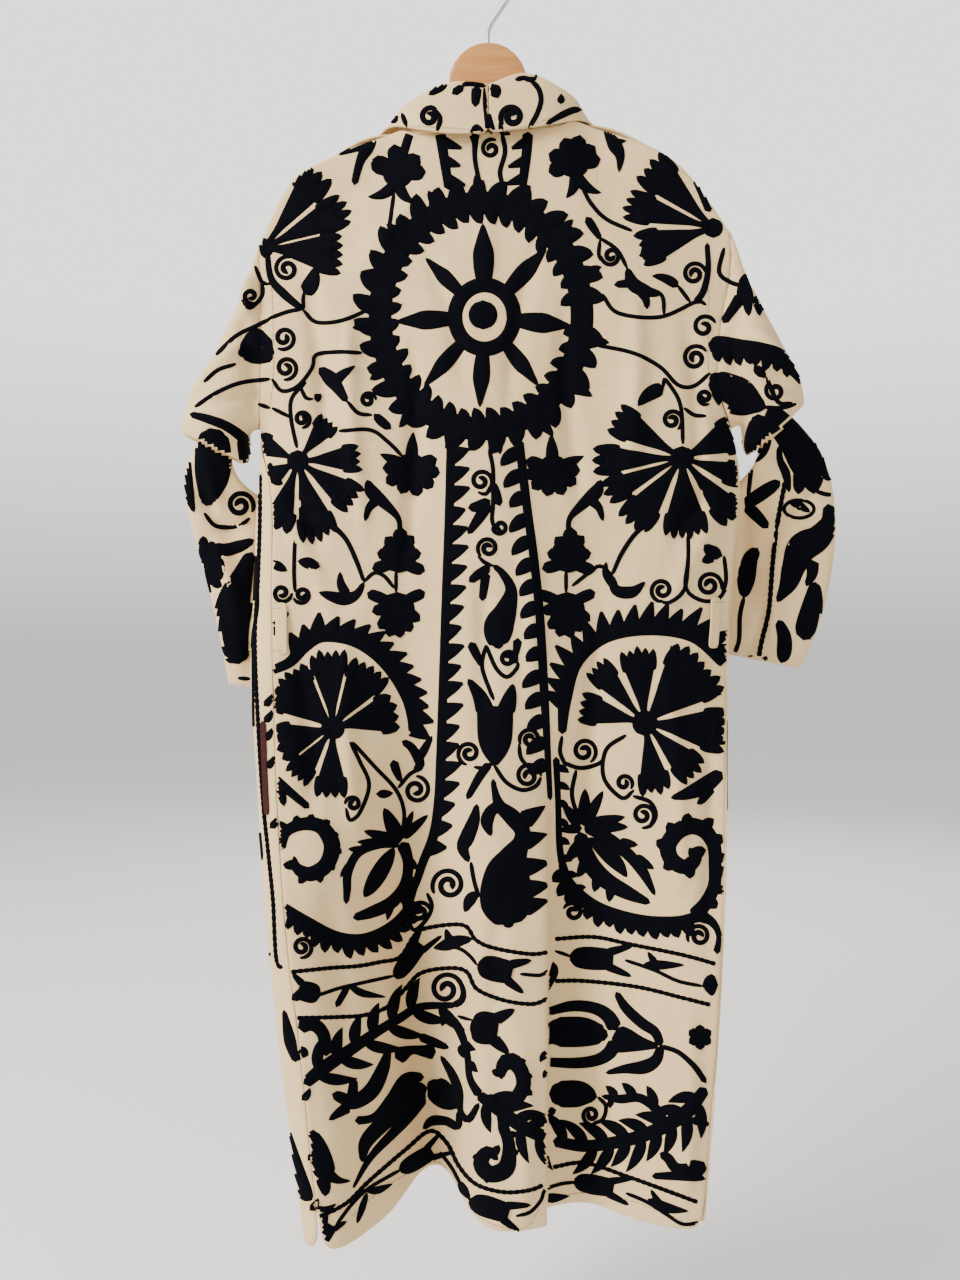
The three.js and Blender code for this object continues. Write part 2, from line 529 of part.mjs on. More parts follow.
// Depth of a panel's middle surface at a place across and a height, or null beyond it.
function depthOf(grid, x, z) {
  for (let r = 0; r < grid.length - 1; r++) {
    for (let c = 0; c < grid[0].length - 1; c++) {
      const corners = [grid[r][c], grid[r][c + 1], grid[r + 1][c + 1], grid[r + 1][c]];
      if (x < Math.min(...corners.map((p) => p.x)) || x > Math.max(...corners.map((p) => p.x))) continue;
      if (z < Math.min(...corners.map((p) => p.z)) || z > Math.max(...corners.map((p) => p.z))) continue;
      for (const [a, b, d] of [[0, 1, 2], [0, 2, 3]].map((ids) => ids.map((k) => corners[k]))) {
        const area = (b.x - a.x) * (d.z - a.z) - (d.x - a.x) * (b.z - a.z);
        const s = ((x - a.x) * (d.z - a.z) - (d.x - a.x) * (z - a.z)) / area;
        const t = ((b.x - a.x) * (z - a.z) - (x - a.x) * (b.z - a.z)) / area;
        if (s >= 0 && t >= 0 && s + t <= 1) return a.y + s * (b.y - a.y) + t * (d.y - a.y);
      }
    }
  }
  return null;
}

// Moves a collar point out to lie on the panel under it.
function clearOfPanels(p, front) {
  const apart = cloth + seamGap + 0.9;
  const back = p.y < 0 ? depthOf(backGrid, p.x, p.z) : null;
  const fore = p.y > 0 ? depthOf(front, p.x, p.z) : null;
  if (back !== null) p.y = Math.min(p.y, back - apart);
  if (fore !== null) p.y = Math.max(p.y, fore + apart);
  const crown = Math.sqrt(Math.max(0, ridgeRadius ** 2 - p.y ** 2)) - ridgeRadius;
  const over = shoulderHeight(p.x) + apart + 0.5 + crown;
  if (Math.abs(p.y) < ridgeRadius && Math.abs(p.x) > neckHalf - 8) p.z = Math.max(p.z, over);
  return p;
}

// Columns of a collar's section: up the stand, over the roll and down the fall.
const collarSteps = [
  { part: 'stand', t: 0 },
  { part: 'stand', t: 0.5 },
  { part: 'roll', t: 0 },
  { part: 'roll', t: 0.36 },
  { part: 'roll', t: 0.68 },
  { part: 'roll', t: 1 },
  { part: 'fall', t: 0.35 },
  { part: 'fall', t: 0.7 },
  { part: 'fall', t: 1 },
];

function collarGrid(sign, rows, front) {
  const point = (suffix, at) => {
    const get = (axis) => column(collarRows, 'at', axis + suffix, at);
    const lift = sign > 0 ? column(collarRows, 'at', 'lift', at) : 0;
    return new THREE.Vector3(get('x'), get('y'), get('z') + lift * (suffix === 'r' ? 1 : 0.6));
  };
  const grid = [];
  for (let r = 0; r <= rows; r++) {
    const at = r / rows;
    const base = neckSeam(sign, at, front);
    const [roll, edge] = [point('r', at), point('e', at)];
    const along = point('r', Math.min(1, at + 0.02)).sub(point('r', Math.max(0, at - 0.02))).normalize();
    const up = roll.clone().sub(base.clone().lerp(edge, 0.4));
    up.addScaledVector(along, -up.dot(along)).normalize();
    const out = along.clone().cross(up).normalize();
    const middle = roll.clone().addScaledVector(up, -collarRoll);
    const arc = (t) => middle.clone()
      .addScaledVector(out, -collarRoll * Math.cos(Math.PI * t))
      .addScaledVector(up, collarRoll * Math.sin(Math.PI * t));
    const row = collarSteps.map(({ part, t }) => {
      const places = {
        stand: () => base.clone().lerp(arc(0), t),
        roll: () => arc(t),
        fall: () => arc(1).lerp(edge, t),
      };
      const p = places[part]();
      p.x = Math.max(p.x, 0.3);
      p.x *= sign;
      return part === 'stand' && t === 0 ? p : clearOfPanels(p, front);
    });
    grid.push(sign > 0 ? row : row.reverse());
  }
  return grid;
}

// ---- hanger ----
function hangerWood() {
  const clear = 3; // from the cloth's middle surface to the wood
  const outline = new THREE.Shape();
  const steps = 12;
  const domeHalf = 39;
  const lower = (x) => 18 * (1 - ramp(92, 128, Math.abs(x))) + 2 * ramp(165, 186, Math.abs(x));
  const topAt = (x) => shoulderHeight(x) - clear - lower(x);
  const arm = (x) => lerp(domeTop - domeRadius, topAt(x), smooth((Math.abs(x) - domeHalf) / 30));
  outline.moveTo(-hangerHalfSpan, arm(-hangerHalfSpan) - 14);
  for (let i = 0; i <= steps; i++) {
    const x = lerp(-hangerHalfSpan, -domeHalf - 4, i / steps);
    outline.lineTo(x, arm(x));
  }
  for (let i = 0; i <= 12; i++) {
    const angle = Math.PI - (Math.PI * i) / 12;
    outline.lineTo(domeHalf * Math.cos(angle), domeTop - domeRadius + domeRadius * Math.sin(angle));
  }
  for (let i = 0; i <= steps; i++) {
    const x = lerp(domeHalf + 4, hangerHalfSpan, i / steps);
    outline.lineTo(x, arm(x));
  }
  outline.lineTo(hangerHalfSpan, arm(hangerHalfSpan) - 14);
  for (let i = 0; i <= 10; i++) {
    const x = lerp(hangerHalfSpan - 6, -hangerHalfSpan + 6, i / 10);
    outline.lineTo(x, topAt(x) - lerp(32, 18, Math.abs(x) / hangerHalfSpan));
  }
  const geometry = new THREE.ExtrudeGeometry(outline, {
    depth: hangerThickness - 2 * hangerRound,
    bevelEnabled: true,
    bevelThickness: hangerRound,
    bevelSize: hangerRound,
    bevelOffset: -hangerRound,
    bevelSegments: 2,
    curveSegments: 1,
  });
  geometry.translate(0, 0, -hangerThickness / 2 + hangerRound);
  geometry.rotateX(Math.PI / 2);
  return geometry;
}

class HookPath extends THREE.Curve {
  constructor() {
    super();
    const centre = -hookRadius + wire / 2;
    const points = [new THREE.Vector3(0, 0, domeTop + 0.3), new THREE.Vector3(0, 0, domeTop + 9)];
    points.push(new THREE.Vector3(4, 0, domeTop + 21));
    for (let i = 0; i <= 12; i++) {
      const angle = lerp(-42, 205, i / 12) * (Math.PI / 180);
      points.push(new THREE.Vector3(hookRadius * Math.cos(angle), 0, centre + hookRadius * Math.sin(angle)));
    }
    this.spline = new THREE.CatmullRomCurve3(points);
  }

  getPoint(t, target = new THREE.Vector3()) {
    return target.copy(this.spline.getPointAt(t));
  }
}

function hangerHook() {
  const section = new THREE.Shape();
  section.absarc(0, 0, wire / 2, 0, 2 * Math.PI, false);
  return new THREE.ExtrudeGeometry(section, { steps: 36, extrudePath: new HookPath(), curveSegments: 4 });
}

// ---- small pieces on the side seams ----
// A strip that lies on the back's points, moved out, between two heights.
function stripOnBack({ u, width, top, length, off, thick }) {
  const rows = 6;
  const cols = 2;
  const grid = [];
  for (let r = 0; r <= rows; r++) {
    const z = top - (length * r) / rows;
    const stand = off + 1.6 * Math.sin((Math.PI * r) / rows);
    const section = backSection(z);
    const [x, y] = section(u);
    const [x2, y2] = section(u + 0.02);
    const along = new THREE.Vector2(x2 - x, y2 - y).normalize();
    const row = [];
    for (let c = 0; c <= cols; c++) {
      const s = width * (c / cols - 0.5);
      row.push(new THREE.Vector3(x + along.x * s + along.y * stand, y + along.y * s - along.x * stand, z));
    }
    grid.push(row);
  }
  return wallOf(grid, thick);
}

// The edge of the pocketing in a side seam, on the front's points, moved out.
function pocketStrip(sign, sink) {
  const rows = 8;
  const grid = [];
  for (let r = 0; r <= rows; r++) {
    const z = pocketEdge.top - (pocketEdge.length * r) / rows;
    const section = frontSection(sign)(z);
    const row = [];
    for (let c = 0; c <= 2; c++) {
      const t = pocketEdge.from + (pocketEdge.share * c) / 2;
      const [x, y] = section(t);
      const [x2, y2] = section(t + 0.01);
      const along = new THREE.Vector2(x2 - x, y2 - y).normalize();
      const out = -sign * (cloth / 2 + seamGap + pocketEdge.thick / 2 - sink);
      row.push(new THREE.Vector3(x - along.y * out, y + along.x * out, z));
    }
    grid.push(sign < 0 ? row.reverse() : row);
  }
  return wallOf(grid, pocketEdge.thick);
}

// ---- the parts ----
const group = new THREE.Group();
const cream = () => new THREE.MeshStandardMaterial({ color: 0xe6d7be, roughness: 0.9, metalness: 0 });

function add(name, geometry, material = cream()) {
  const mesh = new THREE.Mesh(geometry, material);
  mesh.name = name;
  group.add(mesh);
}

const outward = (grid) => grid.map((row) => row.slice().reverse());
add('back_panel', wallOf(backGrid, cloth));
add('front_left', wallOf(outward(frontLeft), cloth));
add('front_right', wallOf(outward(frontRight), cloth));
add('sleeve_left', wallOf(outward(sleeveGrid(leftSleeve, -1)), cloth, true));
add('sleeve_right', wallOf(outward(sleeveGrid(rightSleeve, 1)), cloth, true));
add('collar_left', wallOf(collarGrid(-1, 24, frontLeft), cloth));
add('collar_right', wallOf(collarGrid(1, 24, frontRight), cloth));
const loopOff = cloth / 2 + seamGap + 0.2 + loopSize.thick / 2;
add('belt_loop_left', stripOnBack({ u: 0.02, top: -638, off: loopOff, ...loopSize }));
add('belt_loop_right', stripOnBack({ u: 0.965, top: -632, off: loopOff, ...loopSize }));
const pocketRed = () => new THREE.MeshStandardMaterial({ color: 0x78322d, roughness: 0.95, metalness: 0 });
add('pocket_left', pocketStrip(-1, 0), pocketRed());
add('pocket_right', pocketStrip(1, 0.85), pocketRed());
const tanWood = new THREE.MeshStandardMaterial({ color: 0xc19467, roughness: 0.45, metalness: 0 });
const steel = new THREE.MeshStandardMaterial({ color: 0xb9bcc0, roughness: 0.25, metalness: 1 });
add('hanger_wood', hangerWood(), tanWood);
add('hanger_hook', hangerHook(), steel);

export default group;
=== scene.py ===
import math
import random

import bmesh
import bpy
import numpy as np
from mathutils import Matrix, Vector
from mathutils.bvhtree import BVHTree


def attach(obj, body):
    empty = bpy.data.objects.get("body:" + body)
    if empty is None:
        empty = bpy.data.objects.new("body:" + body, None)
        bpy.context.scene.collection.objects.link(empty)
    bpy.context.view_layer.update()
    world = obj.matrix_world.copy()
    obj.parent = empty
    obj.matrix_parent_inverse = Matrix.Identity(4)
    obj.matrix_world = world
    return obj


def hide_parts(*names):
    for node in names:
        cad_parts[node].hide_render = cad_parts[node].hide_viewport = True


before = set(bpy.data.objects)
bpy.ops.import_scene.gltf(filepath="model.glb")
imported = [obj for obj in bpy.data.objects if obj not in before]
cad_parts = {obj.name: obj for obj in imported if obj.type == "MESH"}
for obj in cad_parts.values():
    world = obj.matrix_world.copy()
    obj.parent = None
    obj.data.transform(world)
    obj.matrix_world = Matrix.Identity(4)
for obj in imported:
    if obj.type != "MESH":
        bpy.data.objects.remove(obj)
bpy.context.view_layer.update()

bpy.ops.object.select_all(action="DESELECT")
random.seed(7)

# Camera at the height of the coat's middle, and soft studio light.
view = {"place": (-0.008, -1.0, -0.674), "lens": 28.125, "pixels": 1000.0, "middle": (480.0, 640.0)}

cameraData = bpy.data.cameras.new("camera")
cameraData.lens = view["lens"]
cameraData.sensor_width = 36.0
camera = bpy.data.objects.new("camera", cameraData)
camera.location = view["place"]
camera.rotation_euler = (math.radians(90), 0, 0)
bpy.context.collection.objects.link(camera)
bpy.context.scene.camera = camera

lights = [
    {"name": "keyLight", "place": (-2.2, -1.35, 0.75), "size": 1.2, "power": 150, "colour": (1.0, 0.975, 0.94)},
    {"name": "fillLight", "place": (2.1, -1.8, -0.2), "size": 2.4, "power": 18, "colour": (0.95, 0.97, 1.0)},
    {"name": "backLight", "place": (0.6, 2.4, 0.8), "size": 2.4, "power": 40, "colour": (1.0, 0.98, 0.95)},
]
for row in lights:
    data = bpy.data.lights.new(row["name"], "AREA")
    data.size = row["size"]
    data.energy = row["power"]
    data.color = row["colour"]
    lamp = bpy.data.objects.new(row["name"], data)
    lamp.location = row["place"]
    aim = Vector((0, 0, -0.62)) - Vector(row["place"])
    lamp.rotation_euler = aim.to_track_quat("-Z", "Y").to_euler()
    bpy.context.collection.objects.link(lamp)

# A pale surround that is lighter towards the top; onCloth is how much of it lights the coat.
wall = {"colour": (0.96, 0.96, 0.95), "onCloth": 0.85, "low": 0.82, "high": 2.0, "rise": 0.3}
world = bpy.data.worlds.new("room")
world.use_nodes = True
room = world.node_tree
surround = room.nodes["Background"]
surround.inputs["Color"].default_value = (*wall["colour"], 1)
brighter = room.nodes.new("ShaderNodeMapRange")
brighter.inputs["To Min"].default_value = wall["onCloth"]
fade = room.nodes.new("ShaderNodeMapRange")
for socket, value in (("From Max", wall["rise"]), ("To Min", wall["low"]), ("To Max", wall["high"])):
    fade.inputs[socket].default_value = value
parts = room.nodes.new("ShaderNodeSeparateXYZ")
room.links.new(room.nodes.new("ShaderNodeTexCoord").outputs["Generated"], parts.inputs[0])
room.links.new(parts.outputs["Z"], fade.inputs["Value"])
room.links.new(fade.outputs[0], brighter.inputs["To Max"])
room.links.new(room.nodes.new("ShaderNodeLightPath").outputs["Is Camera Ray"], brighter.inputs["Value"])
room.links.new(brighter.outputs[0], surround.inputs["Strength"])
bpy.context.scene.world = world


class Value:
    # A number socket that takes part in Python sums.
    def __init__(self, paint, socket):
        self.paint = paint
        self.socket = socket

    def sum(self, kind, other=None, flip=False):
        a, b = (other, self) if flip else (self, other)
        inputs = {0: a, 1: b} if other is not None else {0: a}
        return self.paint.node("ShaderNodeMath", {"operation": kind}, inputs)

    def __add__(self, other):
        return self.sum("ADD", other)

    def __rsub__(self, other):
        return self.sum("SUBTRACT", other, True)

    def __mul__(self, other):
        return self.sum("MULTIPLY", other)

    def sine(self):
        return self.sum("SINE")

    def size(self):
        return self.sum("ABSOLUTE")


class Paint:
    # One material and its nodes.
    def __init__(self, name, **settings):
        self.material = bpy.data.materials.new(name)
        self.material.use_nodes = True
        self.tree = self.material.node_tree
        self.shader = self.tree.nodes["Principled BSDF"]
        for key, value in settings.items():
            socket = self.shader.inputs[key.replace("_", " ")]
            socket.default_value = (*value, 1) if isinstance(value, tuple) else value

    def node(self, kind, settings=None, inputs=None, output=0):
        made = self.tree.nodes.new(kind)
        for key, value in (settings or {}).items():
            setattr(made, key, value)
        for key, value in (inputs or {}).items():
            if isinstance(value, Value):
                self.tree.links.new(value.socket, made.inputs[key])
            elif value is not None:
                made.inputs[key].default_value = value
        return Value(self, made.outputs[output])

    def place(self, output="Object"):
        return self.node("ShaderNodeTexCoord", output=output)

    def stretched(self, vector, scale):
        return self.node("ShaderNodeMapping", None, {"Vector": vector, "Scale": scale})

    def noise(self, vector, scale, detail=3.0, rough=0.55):
        return self.node("ShaderNodeTexNoise", None,
                         {"Vector": vector, "Scale": scale, "Detail": detail, "Roughness": rough})

    def ramp(self, value, low, high):
        return self.node("ShaderNodeMapRange", {"clamp": True},
                         {"Value": value, "From Min": low, "From Max": high})

    def mix(self, share, first, second):
        made = self.tree.nodes.new("ShaderNodeMix")
        made.data_type = "RGBA"
        for socket, value in ((made.inputs[0], share), (made.inputs[6], first), (made.inputs[7], second)):
            if isinstance(value, Value):
                self.tree.links.new(value.socket, socket)
            else:
                socket.default_value = (*value, 1) if isinstance(value, tuple) else value
        return Value(self, made.outputs[2])

    def bump(self, height, strength, distance):
        return self.node("ShaderNodeBump", None, {"Height": height, "Strength": strength, "Distance": distance})

    def feed(self, **links):
        for key, value in links.items():
            self.tree.links.new(value.socket, self.shader.inputs[key.replace("_", " ")])
        return self.material


print("camera and lights stand")


def creamCotton(name, tint=(0.80, 0.585, 0.31), dusk=(0.69, 0.475, 0.225)):
    # Slubby handloom cotton: plain weave, uneven yarns, soft creases and faint ageing.
    paint = Paint(name, Roughness=0.88, Specular_IOR_Level=0.25, Sheen_Weight=0.12, Sheen_Roughness=0.5)
    where = paint.place()
    slubAcross = paint.noise(paint.stretched(where, (40, 40, 900)), 1.0, 2.0)
    slubDown = paint.noise(paint.stretched(where, (900, 600, 30)), 1.0, 2.0)
    cloud = paint.noise(where, 6.0, 4.0)
    crumple = paint.noise(where, 38.0, 3.0, 0.6)
    fineCrumple = paint.noise(paint.stretched(where, (120, 60, 55)), 1.0, 4.0, 0.65)
    weaveX = paint.node("ShaderNodeTexWave", {"wave_type": "BANDS", "bands_direction": "X"},
                        {"Vector": where, "Scale": 330.0, "Distortion": 1.2, "Detail": 1.0})
    weaveZ = paint.node("ShaderNodeTexWave", {"wave_type": "BANDS", "bands_direction": "Z"},
                        {"Vector": where, "Scale": 300.0, "Distortion": 1.2, "Detail": 1.0})
    yarn = paint.ramp(slubAcross * 0.55 + slubDown * 0.45, 0.32, 0.72)
    colour = paint.mix(yarn * 0.5 + paint.ramp(cloud, 0.3, 0.75) * 0.5, dusk, tint)
    light = (min(1, tint[0] * 1.09), min(1, tint[1] * 1.09), min(1, tint[2] * 1.1))
    colour = paint.mix(paint.ramp(slubAcross, 0.62, 0.8) * 0.6, colour, light)
    height = (crumple * 0.55 + fineCrumple * 0.35 + slubAcross * 0.12 + slubDown * 0.1
              + weaveX * 0.03 + weaveZ * 0.03)
    return paint.feed(Base_Color=colour, Normal=paint.bump(height, 0.55, 0.0045))


def blackWool(name):
    # Rows of chain stitch in indigo-black wool; UV runs along the stitches (u) and across the rows (v).
    paint = Paint(name, Roughness=1.0, Specular_IOR_Level=0.04)
    parts = paint.tree.nodes.new("ShaderNodeSeparateXYZ")
    paint.tree.links.new(paint.place("UV").socket, parts.inputs[0])
    u, v = Value(paint, parts.outputs[0]), Value(paint, parts.outputs[1])
    wobble = paint.noise(paint.place(), 260.0, 2.0)
    row = (v * 1750.0 + wobble * 1.2).sine().size()
    loop = (u * 1250.0 + (v * 875.0).sine() * 1.4 + wobble * 2.0).sine().size()
    fuzz = paint.noise(paint.place(), 2400.0, 2.0)
    thread = row * (loop * 0.35 + 0.65)
    # Painted shade: the wool is darker in the grooves between rows and loops and lighter on their raised tops,
    # mixed with random fuzz.
    fuzzAndPaintedShade = paint.mix(paint.ramp(thread * 0.7 + fuzz * 0.5, 0.25, 1.0), (0.0007, 0.0008, 0.0016),
                      (0.0034, 0.0038, 0.0068))
    # Painted glints: pale cream flecks along the narrow gaps between the rows, sparse and in patches set by noise.
    glintPatches = paint.ramp(paint.noise(paint.place(), 55.0, 3.0), 0.6, 0.82)
    gap = (1 - paint.ramp(row, 0.0, 0.16)) * paint.ramp(fuzz, 0.5, 0.66) * (glintPatches * 0.35 + 0.03)
    colour = paint.mix(gap, fuzzAndPaintedShade, (0.20, 0.17, 0.13))
    return paint.feed(Base_Color=colour, Normal=paint.bump(thread * 0.8 + fuzz * 0.2, 0.5, 0.001))


def hangerWoodFinish(name):
    paint = Paint(name, Roughness=0.38, Specular_IOR_Level=0.5, Coat_Weight=0.25, Coat_Roughness=0.25)
    where = paint.place()
    grain = paint.noise(paint.stretched(where, (14, 60, 240)), 1.0, 5.0, 0.6)
    pore = paint.noise(paint.stretched(where, (60, 400, 1600)), 1.0, 2.0)
    colour = paint.mix(paint.ramp(grain, 0.3, 0.72), (0.42, 0.17, 0.037), (0.55, 0.25, 0.068))
    colour = paint.mix(paint.ramp(pore, 0.6, 0.75) * 0.35, colour, (0.24, 0.09, 0.02))
    return paint.feed(Base_Color=colour, Normal=paint.bump(grain * 0.6 + pore * 0.4, 0.18, 0.0006))


def drawnSteel(name):
    paint = Paint(name, Metallic=1.0, Roughness=0.28)
    where = paint.place()
    draw = paint.noise(paint.stretched(where, (500, 500, 40)), 1.0, 3.0)
    colour = paint.mix(paint.ramp(draw, 0.3, 0.8), (0.52, 0.53, 0.55), (0.78, 0.79, 0.80))
    return paint.feed(Base_Color=colour, Roughness=paint.ramp(draw, 0.2, 0.8) * 0.18 + 0.18,
                      Normal=paint.bump(draw, 0.1, 0.0003))


def redCotton(name):
    paint = Paint(name, Roughness=0.92, Specular_IOR_Level=0.2)
    where = paint.place()
    slub = paint.noise(paint.stretched(where, (300, 300, 900)), 1.0, 3.0)
    colour = paint.mix(paint.ramp(slub, 0.3, 0.7), (0.028, 0.005, 0.005), (0.05, 0.011, 0.009))
    return paint.feed(Base_Color=colour, Normal=paint.bump(slub, 0.4, 0.001))


def paleFloor(name):
    paint = Paint(name, Roughness=0.75)
    cloud = paint.noise(paint.place(), 1.5, 3.0)
    colour = paint.mix(paint.ramp(cloud, 0.3, 0.7), (0.92, 0.91, 0.89), (0.94, 0.93, 0.91))
    return paint.feed(Base_Color=colour)


cotton = creamCotton("creamCotton")
thread = creamCotton("creamThread", (0.56, 0.42, 0.24), (0.44, 0.31, 0.17))
wool = blackWool("blackWool")
print("materials mixed")

# Floor.
bpy.ops.mesh.primitive_plane_add(size=24, location=(0, 0, -1.42))
floor = bpy.context.object
floor.name = "floor"
bpy.ops.object.transform_apply(location=True)
floor.data.materials.append(paleFloor("paleFloor"))


def readPoints(mesh):
    flat = np.empty(len(mesh.vertices) * 3, dtype=np.float64)
    mesh.vertices.foreach_get("co", flat)
    return flat.reshape(-1, 3)


def writePoints(mesh, points):
    mesh.vertices.foreach_set("co", points.astype(np.float32).reshape(-1))
    mesh.update()


def squareRim(mesh, wall, grow):
    # Keeps a wall's cut edges square when it is rounded, and brings them out to close the seams.
    shape = bmesh.new()
    shape.from_mesh(mesh)
    sharp = shape.edges.layers.float.new("crease_edge")
    thin = {edge for edge in shape.edges if abs(edge.calc_length() - wall) < 0.00006}
    push = {}
    for face in shape.faces:
        if len(face.verts) == 4 and sum(edge in thin for edge in face.edges) == 2:
            for corner in face.verts:
                push.setdefault(corner, []).append(face.normal.copy())
            for edge in face.edges:
                if edge not in thin:
                    edge[sharp] = 0.9
    for corner, normals in push.items():
        way = sum(normals, Vector())
        if way.length > 0.1:
            corner.co += way.normalized() * grow
    shape.to_mesh(mesh)
    shape.free()


def shellOf(node, name, levels, wall=0.002, grow=0.0005):
    # A merged copy of the node's wall, its loose triangles paired up and rounded.
    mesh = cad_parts[node].data.copy()
    piece = bpy.data.objects.new(name, mesh)
    bpy.context.collection.objects.link(piece)
    bpy.ops.object.select_all(action="DESELECT")
    bpy.context.view_layer.objects.active = piece
    piece.select_set(True)
    mesh.materials.clear()
    bpy.ops.object.mode_set(mode="EDIT")
    bpy.ops.mesh.select_all(action="SELECT")
    bpy.ops.mesh.remove_doubles(threshold=0.00002)
    if levels is not None:
        bpy.ops.mesh.tris_convert_to_quads(face_threshold=3.1, shape_threshold=3.1)
    bpy.ops.object.mode_set(mode="OBJECT")
    if levels:
        squareRim(piece.data, wall, grow)
        rounding = piece.modifiers.new("rounding", "SUBSURF")
        rounding.levels = rounding.render_levels = levels
        rounding.boundary_smooth = "PRESERVE_CORNERS"
        bpy.ops.object.modifier_apply(modifier="rounding")
    for polygon in piece.data.polygons:
        polygon.use_smooth = True
    return piece


def seen(px, py):
    # The place of a point of the view, on the hanger's plane (y = 0).
    reach = -view["place"][1] / view["pixels"]
    return (view["place"][0] + (px - view["middle"][0]) * reach,
            view["place"][2] - (py - view["middle"][1]) * reach)


folds = {"deepen": 2.3, "calmAbove": -0.14, "calmOver": 0.2, "least": 0.2}  # shallow over the hanger


def crease(points, row):
    # One soft trough (+) or ridge (-) along a bent line, thinning out at both ends.
    x0, z0 = seen(row[0], row[1])
    x1, z1 = seen(row[2], row[3])
    width, depth, bow = row[4] / 1000, row[5] / 1000, row[6] / 1000
    length = math.hypot(x1 - x0, z1 - z0)
    dx, dz = (x1 - x0) / length, (z1 - z0) / length
    along = ((points[:, 0] - x0) * dx + (points[:, 2] - z0) * dz) / length
    across = (points[:, 0] - x0) * -dz + (points[:, 2] - z0) * dx
    across = across - bow * np.sin(np.pi * np.clip(along, 0, 1))
    fade = np.clip(along / 0.3, 0, 1) * np.clip((1 - along) / 0.3, 0, 1)
    fade = fade * fade * (3 - 2 * fade)
    wide = width * (0.55 + 0.45 * fade)
    calm = np.clip((folds["calmAbove"] - points[:, 2]) / folds["calmOver"], folds["least"], 1)
    return folds["deepen"] * depth * calm * fade * np.exp(-(across / wide) ** 2)


def press(piece, rows, split=None, soft=0.02, front=False):
    # Presses creases into one layer of a piece; split is the depth between its two layers.
    points = readPoints(piece.data)
    moved = np.zeros(len(points))
    for row in rows:
        moved += crease(points, row)
    if split is not None:
        share = np.clip((split(points) - points[:, 1]) / soft + 0.5, 0, 1)
        moved *= (1 - share) if front else share
    points[:, 1] += -moved if front else moved
    writePoints(piece.data, points)


def ripple(piece, size, depth, seed):
    # Small uneven buckling that no crease is placed for.
    rng = np.random.default_rng(seed)
    points = readPoints(piece.data)
    total = np.zeros(len(points))
    for k in range(14):
        angle = rng.uniform(-0.6, 0.6) + (math.pi / 2 if k % 3 == 0 else 0)
        wave = 2 * math.pi / (size * rng.uniform(0.6, 1.7))
        run = points[:, 0] * math.cos(angle) + points[:, 2] * math.sin(angle)
        total += rng.uniform(0.4, 1.0) * np.sin(run * wave + rng.uniform(0, 6.28))
    points[:, 1] += depth * total / 6
    writePoints(piece.data, points)


backCreases = [
    # from x, y, to x, y, half width, depth (+ away), bow
    (300, 250, 330, 470, 9, 3.0, 8), (352, 300, 372, 560, 8, -2.6, -6), (415, 330, 402, 600, 9, 2.8, 8),
    (560, 300, 585, 540, 9, 2.6, -8), (630, 280, 618, 520, 10, -2.8, 6), (676, 300, 690, 560, 8, 2.5, 8),
    (395, 160, 300, 235, 9, 2.2, 6), (420, 190, 345, 290, 8, -2.0, 6), (575, 140, 680, 215, 9, 2.2, -6),
    (560, 180, 640, 270, 8, -2.0, -6), (284, 480, 330, 560, 8, 2.6, 5), (285, 520, 345, 640, 7, -2.0, 6),
    (720, 470, 660, 560, 8, 2.6, -5), (716, 520, 650, 640, 7, -2.2, -6), (300, 640, 318, 820, 10, 3.0, 8),
    (350, 620, 372, 860, 9, -2.8, -8), (480, 560, 474, 780, 10, 2.6, 7), (520, 520, 528, 720, 9, -2.4, 6),
    (600, 600, 590, 860, 10, 3.0, -8), (655, 640, 668, 900, 10, -3.0, 8), (700, 700, 690, 960, 8, 2.6, 6),
    (330, 860, 350, 1080, 11, 3.4, 8), (385, 900, 380, 1120, 9, -3.0, 6), (500, 860, 505, 1130, 11, 3.0, -8),
    (620, 900, 628, 1150, 11, 3.2, 8), (672, 960, 660, 1180, 9, -2.8, 6), (300, 980, 320, 1190, 8, -2.4, 6),
    (420, 240, 470, 420, 9, 2.0, 6), (540, 230, 505, 440, 9, 2.0, -6), (480, 180, 486, 300, 8, -1.8, 4),
    (585, 980, 590, 1180, 8, 2.4, 5), (520, 1000, 516, 1200, 8, -2.2, 5), (450, 980, 455, 1140, 8, 2.2, -5),
]
frontCreases = [
    (260, 260, 300, 520, 9, 3.0, 8), (340, 300, 350, 640, 9, -2.6, -8), (420, 420, 400, 760, 10, 2.8, 8),
    (560, 420, 590, 760, 10, 2.8, -8), (640, 300, 630, 640, 9, -2.6, 8), (700, 280, 690, 560, 9, 2.8, 6),
    (300, 640, 320, 980, 10, 3.2, 8), (380, 760, 385, 1120, 10, -3.0, 8), (600, 780, 590, 1120, 10, 3.0, -8),
    (670, 680, 660, 1040, 10, -3.0, 8), (440, 860, 450, 1180, 9, 2.6, 6), (540, 880, 530, 1180, 9, -2.6, 6),
]
leftSleeveCreases = [
    (196, 380, 256, 290, 7, 3.4, 8), (180, 415, 262, 350, 8, -3.2, 8), (214, 405, 268, 395, 6, 2.6, -5),
    (232, 250, 250, 330, 7, -2.2, 5), (205, 330, 262, 262, 7, 2.4, 5), (240, 300, 258, 430, 6, 2.0, 6),
    (186, 470, 250, 560, 8, 3.0, -8), (200, 520, 236, 660, 7, -2.6, 6), (262, 480, 240, 600, 7, 2.6, 6),
    (186, 540, 262, 520, 7, 2.4, 5), (222, 600, 246, 690, 6, 2.0, 4), (196, 440, 214, 520, 6, -2.2, 4),
]
